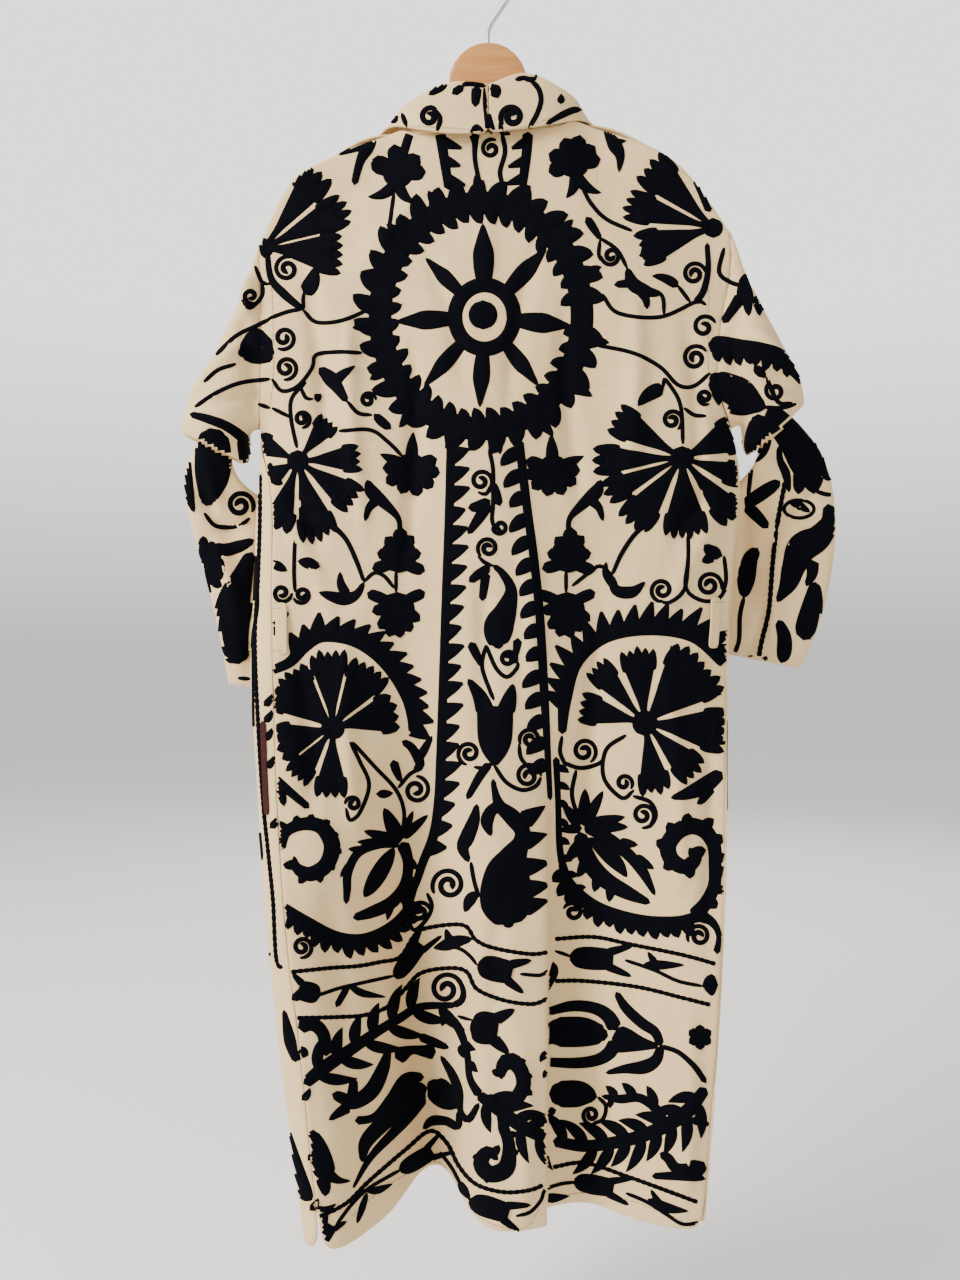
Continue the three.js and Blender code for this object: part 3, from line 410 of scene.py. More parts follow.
rightSleeveCreases = [
    (800, 372, 730, 270, 7, 3.4, -8), (806, 400, 722, 330, 8, -3.2, -8), (788, 388, 716, 372, 6, 2.6, 5),
    (760, 260, 738, 330, 7, -2.2, 5), (786, 330, 724, 250, 7, 2.4, -5), (742, 290, 728, 400, 6, 2.0, -6),
    (826, 460, 760, 560, 8, 3.0, 8), (806, 520, 780, 650, 7, -2.6, -6), (756, 470, 770, 610, 7, 2.6, -6),
    (836, 520, 752, 520, 7, 2.4, -5), (780, 600, 752, 660, 6, 2.0, 4), (826, 440, 806, 510, 6, -2.2, -4),
]


def finishPiece(piece, material, node):
    piece.data.materials.clear()
    piece.data.materials.append(material)
    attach(piece, "root")
    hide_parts(node)


back = shellOf("back_panel", "back", 2)
ripple(back, 0.07, 0.002, 3)
press(back, backCreases)
frontLeft = shellOf("front_left", "frontLeft", 2)
frontRight = shellOf("front_right", "frontRight", 2)
for piece, seed in ((frontLeft, 5), (frontRight, 8)):
    ripple(piece, 0.07, 0.0015, seed)
    press(piece, frontCreases, split=lambda points: np.full(len(points), 0.0), front=True)


def sleeveMiddle(points):
    # Depth of the middle of a sleeve, which swings forward below the elbow.
    return 0.004 + 0.05 * np.clip((-0.49 - points[:, 2]) / 0.06, 0, 1)


sleeveLeft = shellOf("sleeve_left", "sleeveLeft", 2)
sleeveRight = shellOf("sleeve_right", "sleeveRight", 2)
for piece, rows, seed in ((sleeveLeft, leftSleeveCreases, 11), (sleeveRight, rightSleeveCreases, 12)):
    ripple(piece, 0.06, 0.0008, seed)
    press(piece, rows, split=sleeveMiddle)
    # The front layer has the same creases, a little lower and bent the other way.
    press(piece, [(r[0] + 6, r[1] + 22, r[2] - 4, r[3] + 14, r[4], r[5], -r[6]) for r in rows],
          split=sleeveMiddle, front=True)
collarLeft = shellOf("collar_left", "collarLeft", 2)
collarRight = shellOf("collar_right", "collarRight", 2)
loopLeft = shellOf("belt_loop_left", "beltLoopLeft", 2, 0.0016, 0.0)
loopRight = shellOf("belt_loop_right", "beltLoopRight", 2, 0.0016, 0.0)
pocketLeft = shellOf("pocket_left", "pocketLeft", 2, 0.0012, 0.0)
pocketRight = shellOf("pocket_right", "pocketRight", 2, 0.0012, 0.0)
wood = shellOf("hanger_wood", "hangerWood", None)

bpy.ops.object.select_all(action="DESELECT")
wood.select_set(True)
bpy.ops.object.shade_smooth_by_angle(angle=math.radians(40))

finishPiece(back, cotton, "back_panel")
finishPiece(frontLeft, cotton, "front_left")
finishPiece(frontRight, cotton, "front_right")
finishPiece(sleeveLeft, cotton, "sleeve_left")
finishPiece(sleeveRight, cotton, "sleeve_right")
finishPiece(collarLeft, cotton, "collar_left")
finishPiece(collarRight, cotton, "collar_right")
finishPiece(loopLeft, cotton, "belt_loop_left")
finishPiece(loopRight, cotton, "belt_loop_right")
red = redCotton("redCotton")
finishPiece(pocketLeft, red, "pocket_left")
finishPiece(pocketRight, red, "pocket_right")
finishPiece(wood, hangerWoodFinish("hangerWoodFinish"), "hanger_wood")
print("cloth shells hang")

# Embroidery. Each motif is drawn in the view's own units (1 unit is 1 mm on the hanger's plane), laid on the
# cloth by a ray, and raised as a padded strip of couched and chain-stitched wool. scrap is the largest group
# of loose patches that is dropped.
stitch = {"rim": 0.00035, "rise": 0.0011, "sink": 0.0005, "step": 3.0, "reach": 3.2, "slack": 0.004, "scrap": 7}


def treeOf(pieces):
    # One search tree over several pieces, so a motif may run from one to the next.
    corners, faces = [], []
    for piece in pieces:
        first = len(corners)
        corners.extend(map(tuple, readPoints(piece.data)))
        faces.extend([tuple(first + k for k in polygon.vertices) for polygon in piece.data.polygons])
    return BVHTree.FromPolygons(corners, faces)


def curveThrough(points, step):
    # A smooth path through a few points, at even steps.
    points = [Vector(p) for p in points]
    if len(points) == 2:
        count = max(2, int((points[1] - points[0]).length / step) + 1)
        return [points[0].lerp(points[1], k / count) for k in range(count + 1)]
    path = []
    padded = [2 * points[0] - points[1], *points, 2 * points[-1] - points[-2]]
    for k in range(1, len(padded) - 2):
        p0, p1, p2, p3 = padded[k - 1:k + 3]
        count = max(2, int((p2 - p1).length / step))
        for j in range(count):
            t = j / count
            path.append(0.5 * ((2 * p1) + (p2 - p0) * t + (2 * p0 - 5 * p1 + 4 * p2 - p3) * t * t
                               + (3 * p1 - p0 - 3 * p2 + p3) * t ** 3))
    path.append(points[-1])
    return path


def pointAt(x, y, angle, reach, tall=1.0):
    # The place at an angle (degrees, clockwise from the right) and distance from a middle.
    return Vector((x + reach * math.cos(math.radians(angle)), y + tall * reach * math.sin(math.radians(angle))))


class Needle:
    # Gathers strips for one piece of embroidery. aim turns a drawn point into a place on the cloth.
    def __init__(self, aim):
        self.aim = aim
        self.points, self.faces, self.rows = [], [], []

    def strip(self, path, widths, rise=1.0, ring=False):
        # path: middle line; widths: full width at each of its points.
        widest = max(widths)
        across = 2 if widest < 5 else 4 if widest < 12 else 6 if widest < 20 else min(16, int(widest / 4) + 2)
        count = len(path)
        grid, run = [], 0.0
        for i, (middle, width) in enumerate(zip(path, widths)):
            before = path[i - 1] if i or ring else path[0]
            after = path[(i + 1) % count] if i < count - 1 or ring else path[-1]
            way = (after - before).normalized()
            side = Vector((-way.y, way.x))
            if i:
                run += (middle - path[i - 1]).length
            line = []
            for j in range(across + 1):
                t = 2 * j / across - 1
                spot = middle + side * (t * width / 2)
                dome = max(0.0, 1 - abs(t) ** 2.6) * min(1.0, 0.45 + width / 9)
                line.append((self.aim(spot.x, spot.y), stitch["rim"] + stitch["rise"] * rise * dome,
                             (run / 1000, t * width / 2000), spot))
            grid.append(line)
        rows = count if ring else count - 1
        keep = set()
        for i in range(rows):
            for j in range(across):
                four = [grid[i][j], grid[i][j + 1], grid[(i + 1) % count][j + 1], grid[(i + 1) % count][j]]
                if all(entry[0] is not None for entry in four) and not self.torn(four):
                    keep.add((i, j))
        keep = self.tidied(keep)
        index = {}

        def corner(i, j, top):
            key = (i % count, j, top)
            if key not in index:
                (place, normal), lift, uv, _ = grid[i % count][j]
                index[key] = len(self.points)
                self.points.append(place + normal * (lift if top else -stitch["sink"]))
                self.rows.append(uv)
            return index[key]

        for (i, j) in sorted(keep):
            ring4 = [(i, j), (i, j + 1), (i + 1, j + 1), (i + 1, j)]
            self.faces.append([corner(a, b, True) for a, b in ring4])
            self.faces.append([corner(a, b, False) for a, b in reversed(ring4)])
            before = (i - 1) % rows if ring else i - 1
            after = (i + 1) % rows if ring else i + 1
            for beside, (p, q) in (((i, j - 1), (ring4[3], ring4[0])), ((i, j + 1), (ring4[1], ring4[2])),
                                   ((before, j), (ring4[0], ring4[1])), ((after, j), (ring4[2], ring4[3]))):
                if beside not in keep:
                    self.faces.append([corner(*q, True), corner(*p, True), corner(*p, False), corner(*q, False)])

    def tidied(self, keep):
        # Scraps of a motif left alone beside a fold are dropped.
        rest, kept = set(keep), set()
        while rest:
            group, edge = set(), [rest.pop()]
            while edge:
                i, j = edge.pop()
                group.add((i, j))
                for beside in ((i - 1, j), (i + 1, j), (i, j - 1), (i, j + 1)):
                    if beside in rest:
                        rest.remove(beside)
                        edge.append(beside)
            if len(group) > stitch["scrap"] or len(group) == len(keep):
                kept |= group
        return kept

    def torn(self, four):
        # A patch that would jump from one fold to the next is left out.
        for a, b in zip(four, four[1:] + four[:1]):
            flat = (a[3] - b[3]).length / 1000
            if (a[0][0] - b[0][0]).length > flat * stitch["reach"] + stitch["slack"]:
                return True
        return False

    def line(self, points, width=4.2, rise=0.7):
        path = curveThrough(points, stitch["step"])
        last = len(path) - 1
        self.strip(path, [width * min(1.0, 0.5 + k * 0.35, 0.5 + (last - k) * 0.35) for k in range(last + 1)], rise)
        return path

    def lines(self, width, *rows):
        for row in rows:
            self.line(row, width)

    def body(self, points, square=False):
        # A filled shape, from places along its middle line and the full width at each, with round ends.
        path = curveThrough(points, stitch["step"])
        middle, widths = [Vector(p[:2]) for p in path], [max(0.8, p[2]) for p in path]
        for end in () if square else (0, -1):
            half = widths[end] * 0.42
            for k, place in enumerate(middle):
                away = (place - middle[end]).length
                if away < half:
                    widths[k] = min(widths[k], 1.0 + 2.3 * math.sqrt(half ** 2 - (half - away) ** 2))
        self.strip(middle, widths)
        return middle

    def bodies(self, *rows):
        for row in rows:
            self.body(row)

    def leaf(self, x0, y0, x1, y1, width, bow=0.0, blunt=0.0):
        # A pointed leaf from stalk to tip; bow bends it sideways as a share of its length.
        start, end = Vector((x0, y0)), Vector((x1, y1))
        way = end - start
        side = Vector((-way.y, way.x))
        count = max(5, int(way.length / stitch["step"]))
        path, widths = [], []
        for k in range(count + 1):
            t = k / count
            path.append(start + way * t + side * (bow * 4 * t * (1 - t)))
            swell = math.sin(math.pi * min(1.0, t ** (0.8 - 0.25 * blunt))) ** (0.8 - 0.35 * blunt)
            widths.append(max(0.7, width * swell))
        self.strip(path, widths)

    def leaves(self, bow, blunt, *rows):
        for row in rows:
            self.leaf(*row, bow, blunt)

    def dot(self, x, y, radius):
        # A round seed.
        count = max(6, int(radius * 2 / 2.4))
        path = [Vector((x, y - radius + 2 * radius * k / count)) for k in range(count + 1)]
        self.strip(path, [max(0.8, 2 * radius * math.sqrt(max(0.0, 1 - (2 * k / count - 1) ** 2)))
                          for k in range(count + 1)])

    def arc(self, x, y, rx, ry, start, end, width):
        # Part of an ellipse.
        size = abs(math.radians(end - start)) * (rx + ry) / 2
        whole = abs(end - start) >= 359.9
        count = max(6, int(size / stitch["step"]))
        path = [pointAt(x, y, start + (end - start) * k / count, rx, ry / rx)
                for k in range(count if whole else count + 1)]
        self.strip(path, [width] * len(path), 0.9, ring=whole)
        return path

    def spiral(self, x, y, radius, start=0.0, turns=1.5, way=1, width=4.2):
        # A curl, thicker at its eye.
        count = int(turns * math.pi * radius * 0.5) + 10
        path, widths = [], []
        for k in range(count + 1):
            t = k / count
            path.append(pointAt(x, y, start + way * t * turns * 360, radius * (1 - 0.84 * t)))
            widths.append(width * min(1, 0.5 + k * 0.3) * (1 + 0.35 * t))
        self.strip(path, widths, 0.8)

    def spirals(self, *rows):
        for row in rows:
            self.spiral(*row)

    def teeth(self, path, count, length, width, side=1, lean=0.35, blunt=0.5, first=0.01, last=0.99):
        # Leafy teeth along one side of a path.
        for k in range(count):
            at = (first + (last - first) * (k + 0.5) / count) * (len(path) - 1)
            i = min(len(path) - 2, int(at))
            spot = path[i].lerp(path[i + 1], at - i)
            way = (path[i + 1] - path[i]).normalized()
            out = Vector((-way.y, way.x)) * side
            size = length * (0.86 + 0.28 * random.random())
            tip = spot + out * size + way * (lean * size)
            self.leaf(spot.x, spot.y, tip.x, tip.y, width, 0.08 * side, blunt)

    def saw(self, path, count, length, width, side=1, lean=-0.4, first=0.01, last=0.99):
        # Sharp wedges along one side of a path.
        for k in range(count):
            at = (first + (last - first) * (k + 0.5) / count) * (len(path) - 1)
            i = min(len(path) - 2, int(at))
            spot = path[i].lerp(path[i + 1], at - i)
            way = (path[i + 1] - path[i]).normalized()
            out = Vector((-way.y, way.x)) * side
            size = length * (0.85 + 0.3 * random.random())
            tip = spot + out * size + way * (lean * size)
            near = spot.lerp(tip, 0.55)
            self.body([(spot.x, spot.y, width * 1.15), (near.x, near.y, width * 0.72), (tip.x, tip.y, 3.0)], True)

    def petal(self, x, y, angle, reach, spread, lobes=4):
        # One wedge of a fan flower, its far end scalloped.
        opening = 2 * math.tan(math.radians(spread) * 0.525)
        rows = []
        for t in (0.06, 0.25, 0.45, 0.68, 0.88):
            rows.append((*pointAt(x, y, angle, reach * t), max(5.0, reach * t * opening - 1.8)))
        self.body(rows, True)
        size = 0.95 * reach * opening / lobes
        for k in range(lobes):
            turn = angle + spread * ((k + 0.5) / lobes - 0.5)
            foot = pointAt(x, y, turn, reach * 0.7)
            tip = pointAt(x, y, turn, reach * (1.0 + 0.06 * random.random()))
            self.leaf(*foot, *tip, size * 1.3, 0.0, 1.0)

    def petals(self, x, y, rows, heart=9):
        for row in rows:
            self.petal(x, y, *row)
        self.dot(x, y, heart)

    def fan(self, x, y, reach, start, count, spread=33, lobes=4):
        self.petals(x, y, [(start + 360 * k / count, reach * (0.96 + 0.08 * random.random()), spread, lobes)
                           for k in range(count)])

    def finger(self, x0, y0, x1, y1, width):
        # A petal with a round end.
        self.body([(x0, y0, width * 0.6), (x0 * 0.4 + x1 * 0.6, y0 * 0.4 + y1 * 0.6, width), (x1, y1, width * 0.8)])

    def blossom(self, x, y, radius, angles, width=0.55):
        # Finger petals round a solid heart.
        for angle in angles:
            tip = pointAt(x, y, angle, radius * (0.95 + 0.1 * random.random()))
            self.finger(x, y, *tip, radius * width)
        self.dot(x, y, radius * 0.55)

    def tulip(self, x0, y0, x1, y1, width, tips=0.42):
        # A solid goblet from its foot to its mouth, with two points turned out.
        foot, mouth = Vector((x0, y0)), Vector((x1, y1))
        side = Vector((y0 - y1, x1 - x0)).normalized() * width / 2
        rows = []
        for t, share in ((0, 0.3), (0.12, 0.8), (0.35, 1.0), (0.65, 0.98), (0.9, 0.9)):
            spot = foot.lerp(mouth, t)
            rows.append((spot.x, spot.y, width * share))
        self.body(rows, True)
        for s in (-1, 1):
            start = foot.lerp(mouth, 0.75) + side * s * 0.55
            tip = foot.lerp(mouth, 1 + tips) + side * s * 1.35
            self.body([(start.x, start.y, width * 0.42), (*start.lerp(tip, 0.6), width * 0.3), (tip.x, tip.y, 3.4)])

    def hook(self, rows, lobes, side, size=11):
        # A thick curl with lobes on its outer edge.
        path = self.body(rows)
        self.teeth(path, lobes, size, size * 0.95, side, 0.15, 1.0)

    def vine(self, points, width, count, length):
        # A branch with broad leaves that point back along it.
        path = self.body(points)
        self.teeth(path, count, length, width, 1, 1.0, 0.1)
        self.teeth(path, count, length, width, -1, 1.0, 0.1, 0.05, 0.8)

    def chain(self, points, width=4.6):
        # A line of open chain stitch: links in turn, a little apart.
        path = curveThrough(points, 1.0)
        link, at = 7, 0
        while at + link < len(path):
            self.strip(path[at:at + link + 1:2], [width * s for s in (0.72, 1.0, 1.0, 0.8)], 0.8)
            at += link - 1

    def dashes(self, points, width=1.1, long=5.0, gap=2.6):
        # Running stitches in thread.
        path = curveThrough(points, 0.9)
        at, size = 0, int(long / 0.9)
        while at + size < len(path):
            part = path[at:at + size + 1]
            self.strip(part, [width] * len(part), 0.25)
            at += size + int(gap / 0.9)

    def piece(self, name, material):
        mesh = bpy.data.meshes.new(name)
        mesh.from_pydata([tuple(p) for p in self.points], [], self.faces)
        layer = mesh.uv_layers.new(name="stitches")
        for loop in mesh.loops:
            layer.data[loop.index].uv = self.rows[loop.vertex_index]
        mesh.validate()
        for polygon in mesh.polygons:
            polygon.use_smooth = True
        made = bpy.data.objects.new(name, mesh)
        bpy.context.collection.objects.link(made)
        shape = bmesh.new()
        shape.from_mesh(mesh)
        bmesh.ops.recalc_face_normals(shape, faces=shape.faces)
        shape.to_mesh(mesh)
        shape.free()
        mesh.materials.append(material)
        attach(made, "root")
        print(name, len(mesh.polygons), "faces")
        return made


def fromView(tree):
    # Lays points of the view on what the view sees.
    eye = Vector(view["place"])

    def aim(px, py):
        way = Vector(((px - view["middle"][0]) / view["pixels"], 1.0, -(py - view["middle"][1]) / view["pixels"]))
        place, normal, _, _ = tree.ray_cast(eye, way.normalized())
        if place is None:
            return None
        return place, -normal if normal.dot(way) > 0 else normal
    return aim


frontSide = {"middle": 488, "top": 34, "deepest": -0.055}  # past deepest a ray has gone through the opening


def fromFront(tree):
    # Lays points of the same sheet, looked through from the other side, on the coat's front.
    def aim(px, py):
        x, z = (px - frontSide["middle"]) / 1000, -(py + frontSide["top"]) / 1000
        place, normal, _, _ = tree.ray_cast(Vector((x, 1.0, z)), Vector((0, -1, 0)))
        if place is None or place.y < frontSide["deepest"]:
            return None
        return place, -normal if normal.y < 0 else normal
    return aim


def drawSun(n):
    # Sun medallion of the middle back: hub, eight rays and a ring of leafy teeth.
    x, y = 484.5, 317
    for angle, reach, width in ((-91, 93, 21), (-48, 92, 18), (6, 87, 20), (52, 87, 16), (93, 90, 17),
                                (131, 92, 16), (177, 88, 19), (225, 83, 15)):
        foot, near, far, tip = (pointAt(x, y, angle, r) for r in (28, 48, reach * 0.8, reach))
        n.body([(*foot, width * 0.6), (*near, width * 0.95), (*foot.lerp(tip, 0.55), width), (*far, width * 0.74),
                (*tip, 3)])
    n.arc(x, y, 29.5, 32, 0, 360, 15)
    n.dot(483, 315, 14.5)
    ring = n.arc(481, 316, 101, 113, 0, 360, 23)
    n.teeth(ring, 34, 25, 19, -1, 0.4, 0.8)
    n.teeth(ring, 38, 20, 15, 1, 0.25, 0.8)
    n.teeth(ring, 15, 28, 13, -1, -0.35, 0.8)


def drawShoulders(n):
    # Bands from the collar to the ring, shoulder fans, blossoms and thorned leaves.
    left = n.body([(440, 132, 11), (444, 158, 10), (449, 190, 9)])
    n.saw(left, 3, 17, 12, -1, 0.5)
    right = n.body([(528, 132, 11), (526, 158, 10), (522, 188, 9)])
    n.saw(right, 3, 15, 11, 1, 0.5)
    n.body([(474, 134, 13), (475, 142, 7), (475, 160, 5), (480, 186, 5)])
    n.spiral(491, 149, 10, -60, 1.4, -1)
    n.body([(412, 128, 8), (407, 142, 9), (402, 160, 9)])
    n.line([(502, 134), (505, 152), (500, 172), (503, 186)], 5)
    for x, y, rows in ((264, 248, ((-53, 94, 22, 3), (-26, 90, 24, 4), (5, 78, 34, 5))),
                       (713, 228, ((224, 91, 27, 4), (195.5, 88, 23, 4), (163, 76, 30, 4)))):
        n.petals(x, y, rows, heart=10)
    n.body([(689, 170, 4), (700, 190, 7), (710, 212, 9)])
    n.leaves(0.1, 0.8, (330, 250, 334, 272, 12), (322, 246, 323, 262, 11), (648, 246, 648, 262, 12))
    for x, y, turns, low in ((398, 173, (-97, -152, -160, -38, -2), ((-30, 24), (16, 30))),
                             (574, 163, (-112, -78, -38, -8, 160, 200), ((-8, 35), (27, 30)))):
        n.blossom(x, y, 28, turns, 0.6)
        for dx, dy in low:
            n.leaf(x, y + 6, x + dx, y + dy, 12, -0.15 if dx < 0 else 0.15, 0.4)
    n.lines(4.2, [(394, 193), (391, 215), (390, 228), (396, 242)], [(581, 184), (590, 202), (606, 219), (632, 231)])
    n.bodies([(378, 131, 4), (368, 147, 13), (360, 162, 9), (354, 185, 7)],
             [(372, 142, 10), (356, 148, 8), (339, 155, 2)],
             [(604, 129, 3), (614, 144, 14), (620, 156, 10), (619, 172, 3)], [(614, 142, 9), (626, 141, 2)])


def drawStems(n):
    # Curls, buds and thin stems between the ring and the armholes.
    n.lines(4.2, [(304, 292), (303, 300), (304, 309)], [(303, 310), (316, 322), (340, 321), (366, 311)],
            [(303, 309), (287, 312), (268, 319)], [(272, 379), (282, 391), (298, 386), (312, 368), (316, 355),
                                                   (338, 352), (362, 353)],
            [(306, 382), (292, 398), (291, 418), (297, 448)], [(300, 386), (306, 398), (313, 399)],
            [(347, 401), (358, 413), (372, 415)], [(339, 431), (370, 430), (388, 442), (402, 456)],
            [(600, 238), (617, 250), (627, 268)], [(600, 240), (599, 256), (606, 263)],
            [(602, 294), (618, 313), (660, 317), (696, 302), (706, 305)], [(648, 288), (662, 296), (664, 314)],
            [(678, 286), (690, 302)], [(596, 345), (633, 353), (660, 367), (678, 385), (694, 386), (710, 373)],
            [(664, 378), (663, 388)], [(665, 378), (680, 404), (683, 444)], [(684, 408), (694, 415), (706, 416)],
            [(272, 408), (284, 414), (292, 418)])
    n.bodies([(267, 250, 5), (271, 278, 7), (284, 294, 9), (303, 310, 6)],
             [(707, 243, 5), (708, 270, 6), (703, 292, 7), (694, 303, 6)],
             [(586, 217, 7), (592, 226, 9), (601, 240, 5)],
             [(627, 268, 5), (633, 284, 14), (646, 291, 12), (660, 295, 4)],
             [(632, 283, 10), (622, 284, 8), (614, 285, 6)], [(640, 288, 14), (646, 300, 8), (647, 309, 5)],
             [(319, 368, 7), (330, 378, 15), (338, 388, 12), (347, 402, 6)],
             [(336, 380, 12), (346, 372, 8), (355, 366, 2)], [(374, 414, 7), (382, 422, 10), (391, 429, 7)])
    n.leaves(0.1, 0.8, (304, 294, 315, 267, 17), (314, 399, 321, 394, 9), (664, 388, 638, 406, 15),
             (678, 287, 652, 276, 10))
    n.spirals((287, 269, 13, -60, 1.6, -1), (284, 338, 12, 120, 1.5, -1), (286, 368, 12, 100, 1.6, -1),
              (302, 419, 9, 90, 1.5, -1), (368, 400, 8, 0, 1.4, -1), (611, 256, 10, 180, 1.5, -1),
              (694, 274, 12, 0, 1.6, -1), (704, 327, 12, -20, 1.3, -1), (695, 358, 13, -30, 1.6, -1),
              (672, 420, 11, 60, 1.6, -1), (705, 397, 8, 60, 1.4, 1))


def drawRounds(n):
    # Large round fans at the sides, with the small blossoms beside them.
    n.petals(298, 461, ((-52, 52, 30, 4), (-3, 62, 29, 4), (35, 70, 29, 4), (74, 80, 31, 5), (108, 72, 27, 3),
                        (150, 34, 40, 2), (205, 46, 34, 3)), heart=11)
    n.petals(682, 458, ((-25, 62, 38, 4), (17, 62, 25, 3), (49, 80, 24, 3), (87, 78, 36, 6), (127, 82, 28, 4),
                        (178.5, 86, 22, 3), (155, 84, 20, 3), (211, 80, 27, 4)), heart=12)
    for s, x, y in ((1, 411, 468), (-1, 553, 470)):
        n.blossom(x, y, 28, [90 + s * a for a in (90, 58, 22, -14, -48, -80, -110)], 0.5)
        n.leaf(x, y, x + 2 * s, y - 36, 13, 0, 0.2)
        n.leaf(x, y, x - 31 * s, y - 14, 12, 0, 0.2)
        stem = 399 if s > 0 else 569
        top = stem - 32 * s
        n.body([(top, 480, 5), (top + 5 * s, 492, 14), (top + 18 * s, 504, 11), (stem - s, 518, 6),
                (stem + s, 532, 5)])
        n.body([(top + 10 * s, 500, 11), (top + 2 * s, 508, 8), (top - 2 * s, 521, 4)])
        for dx, dy, width in ((2, -24, 18), (-14, -14, 15), (15, -15, 15), (-22, 2, 15), (22, 2, 15), (-27, 18, 15),
                              (26, 20, 15)):
            n.finger(stem, 556 + dy * 0.35, stem + dx, 551 + dy, width * 0.85)
        n.dot(stem, 555, 18)
        n.lines(4.0, [(stem - 3, 571), (stem - 3, 592)])
        for dx, dy, width in ((-30, -14, 12), (28, -15, 12), (-25, 5, 12), (-18, 22, 12), (-8, 30, 12), (3, 31, 12),
                              (14, 25, 12), (23, 14, 12)):
            n.finger(stem - 2, 604, stem - 2 + dx, 607 + dy, width)
        n.dot(stem - 2, 610, 18)
    n.bodies([(327, 521, 7), (345, 538, 5), (356, 560, 5), (364, 582, 4)],
             [(364, 582, 4), (357, 594, 9), (345, 599, 13), (330, 596, 10), (319, 592, 3)],
             [(347, 596, 11), (341, 584, 9), (340, 572, 3)], [(298, 561, 4), (308, 563, 12), (320, 567, 6)],
             [(269, 562, 5), (278, 566, 10), (287, 571, 4)],
             [(652, 520, 7), (636, 533, 5), (622, 553, 5), (612, 575, 4)],
             [(612, 575, 4), (616, 590, 11), (632, 592, 12), (645, 582, 3)],
             [(616, 588, 10), (606, 574, 8), (606, 562, 3)], [(704, 545, 6), (712, 552, 14), (722, 556, 10)],
             [(714, 556, 12), (706, 560, 9), (702, 562, 3)])
    n.lines(4.2, [(295, 540), (294, 570), (295, 592)], [(364, 582), (374, 573), (384, 576), (394, 588)],
            [(688, 534), (688, 560), (684, 590), (668, 603), (660, 600)],
            [(688, 560), (686, 588), (700, 600), (716, 600), (726, 590)],
            [(612, 575), (600, 566), (590, 572), (572, 586)], [(724, 556), (726, 580), (722, 594)])
    n.spirals((302, 595, 9, 160, 1.5, -1), (282, 593, 10, 0, 1.4, 1), (278, 630, 9, 200, 1.2, 1),
              (662, 590, 12, 90, 1.6, 1), (709, 585, 13, 20, 1.6, -1), (282, 612, 6, 0, 1.2, 1))


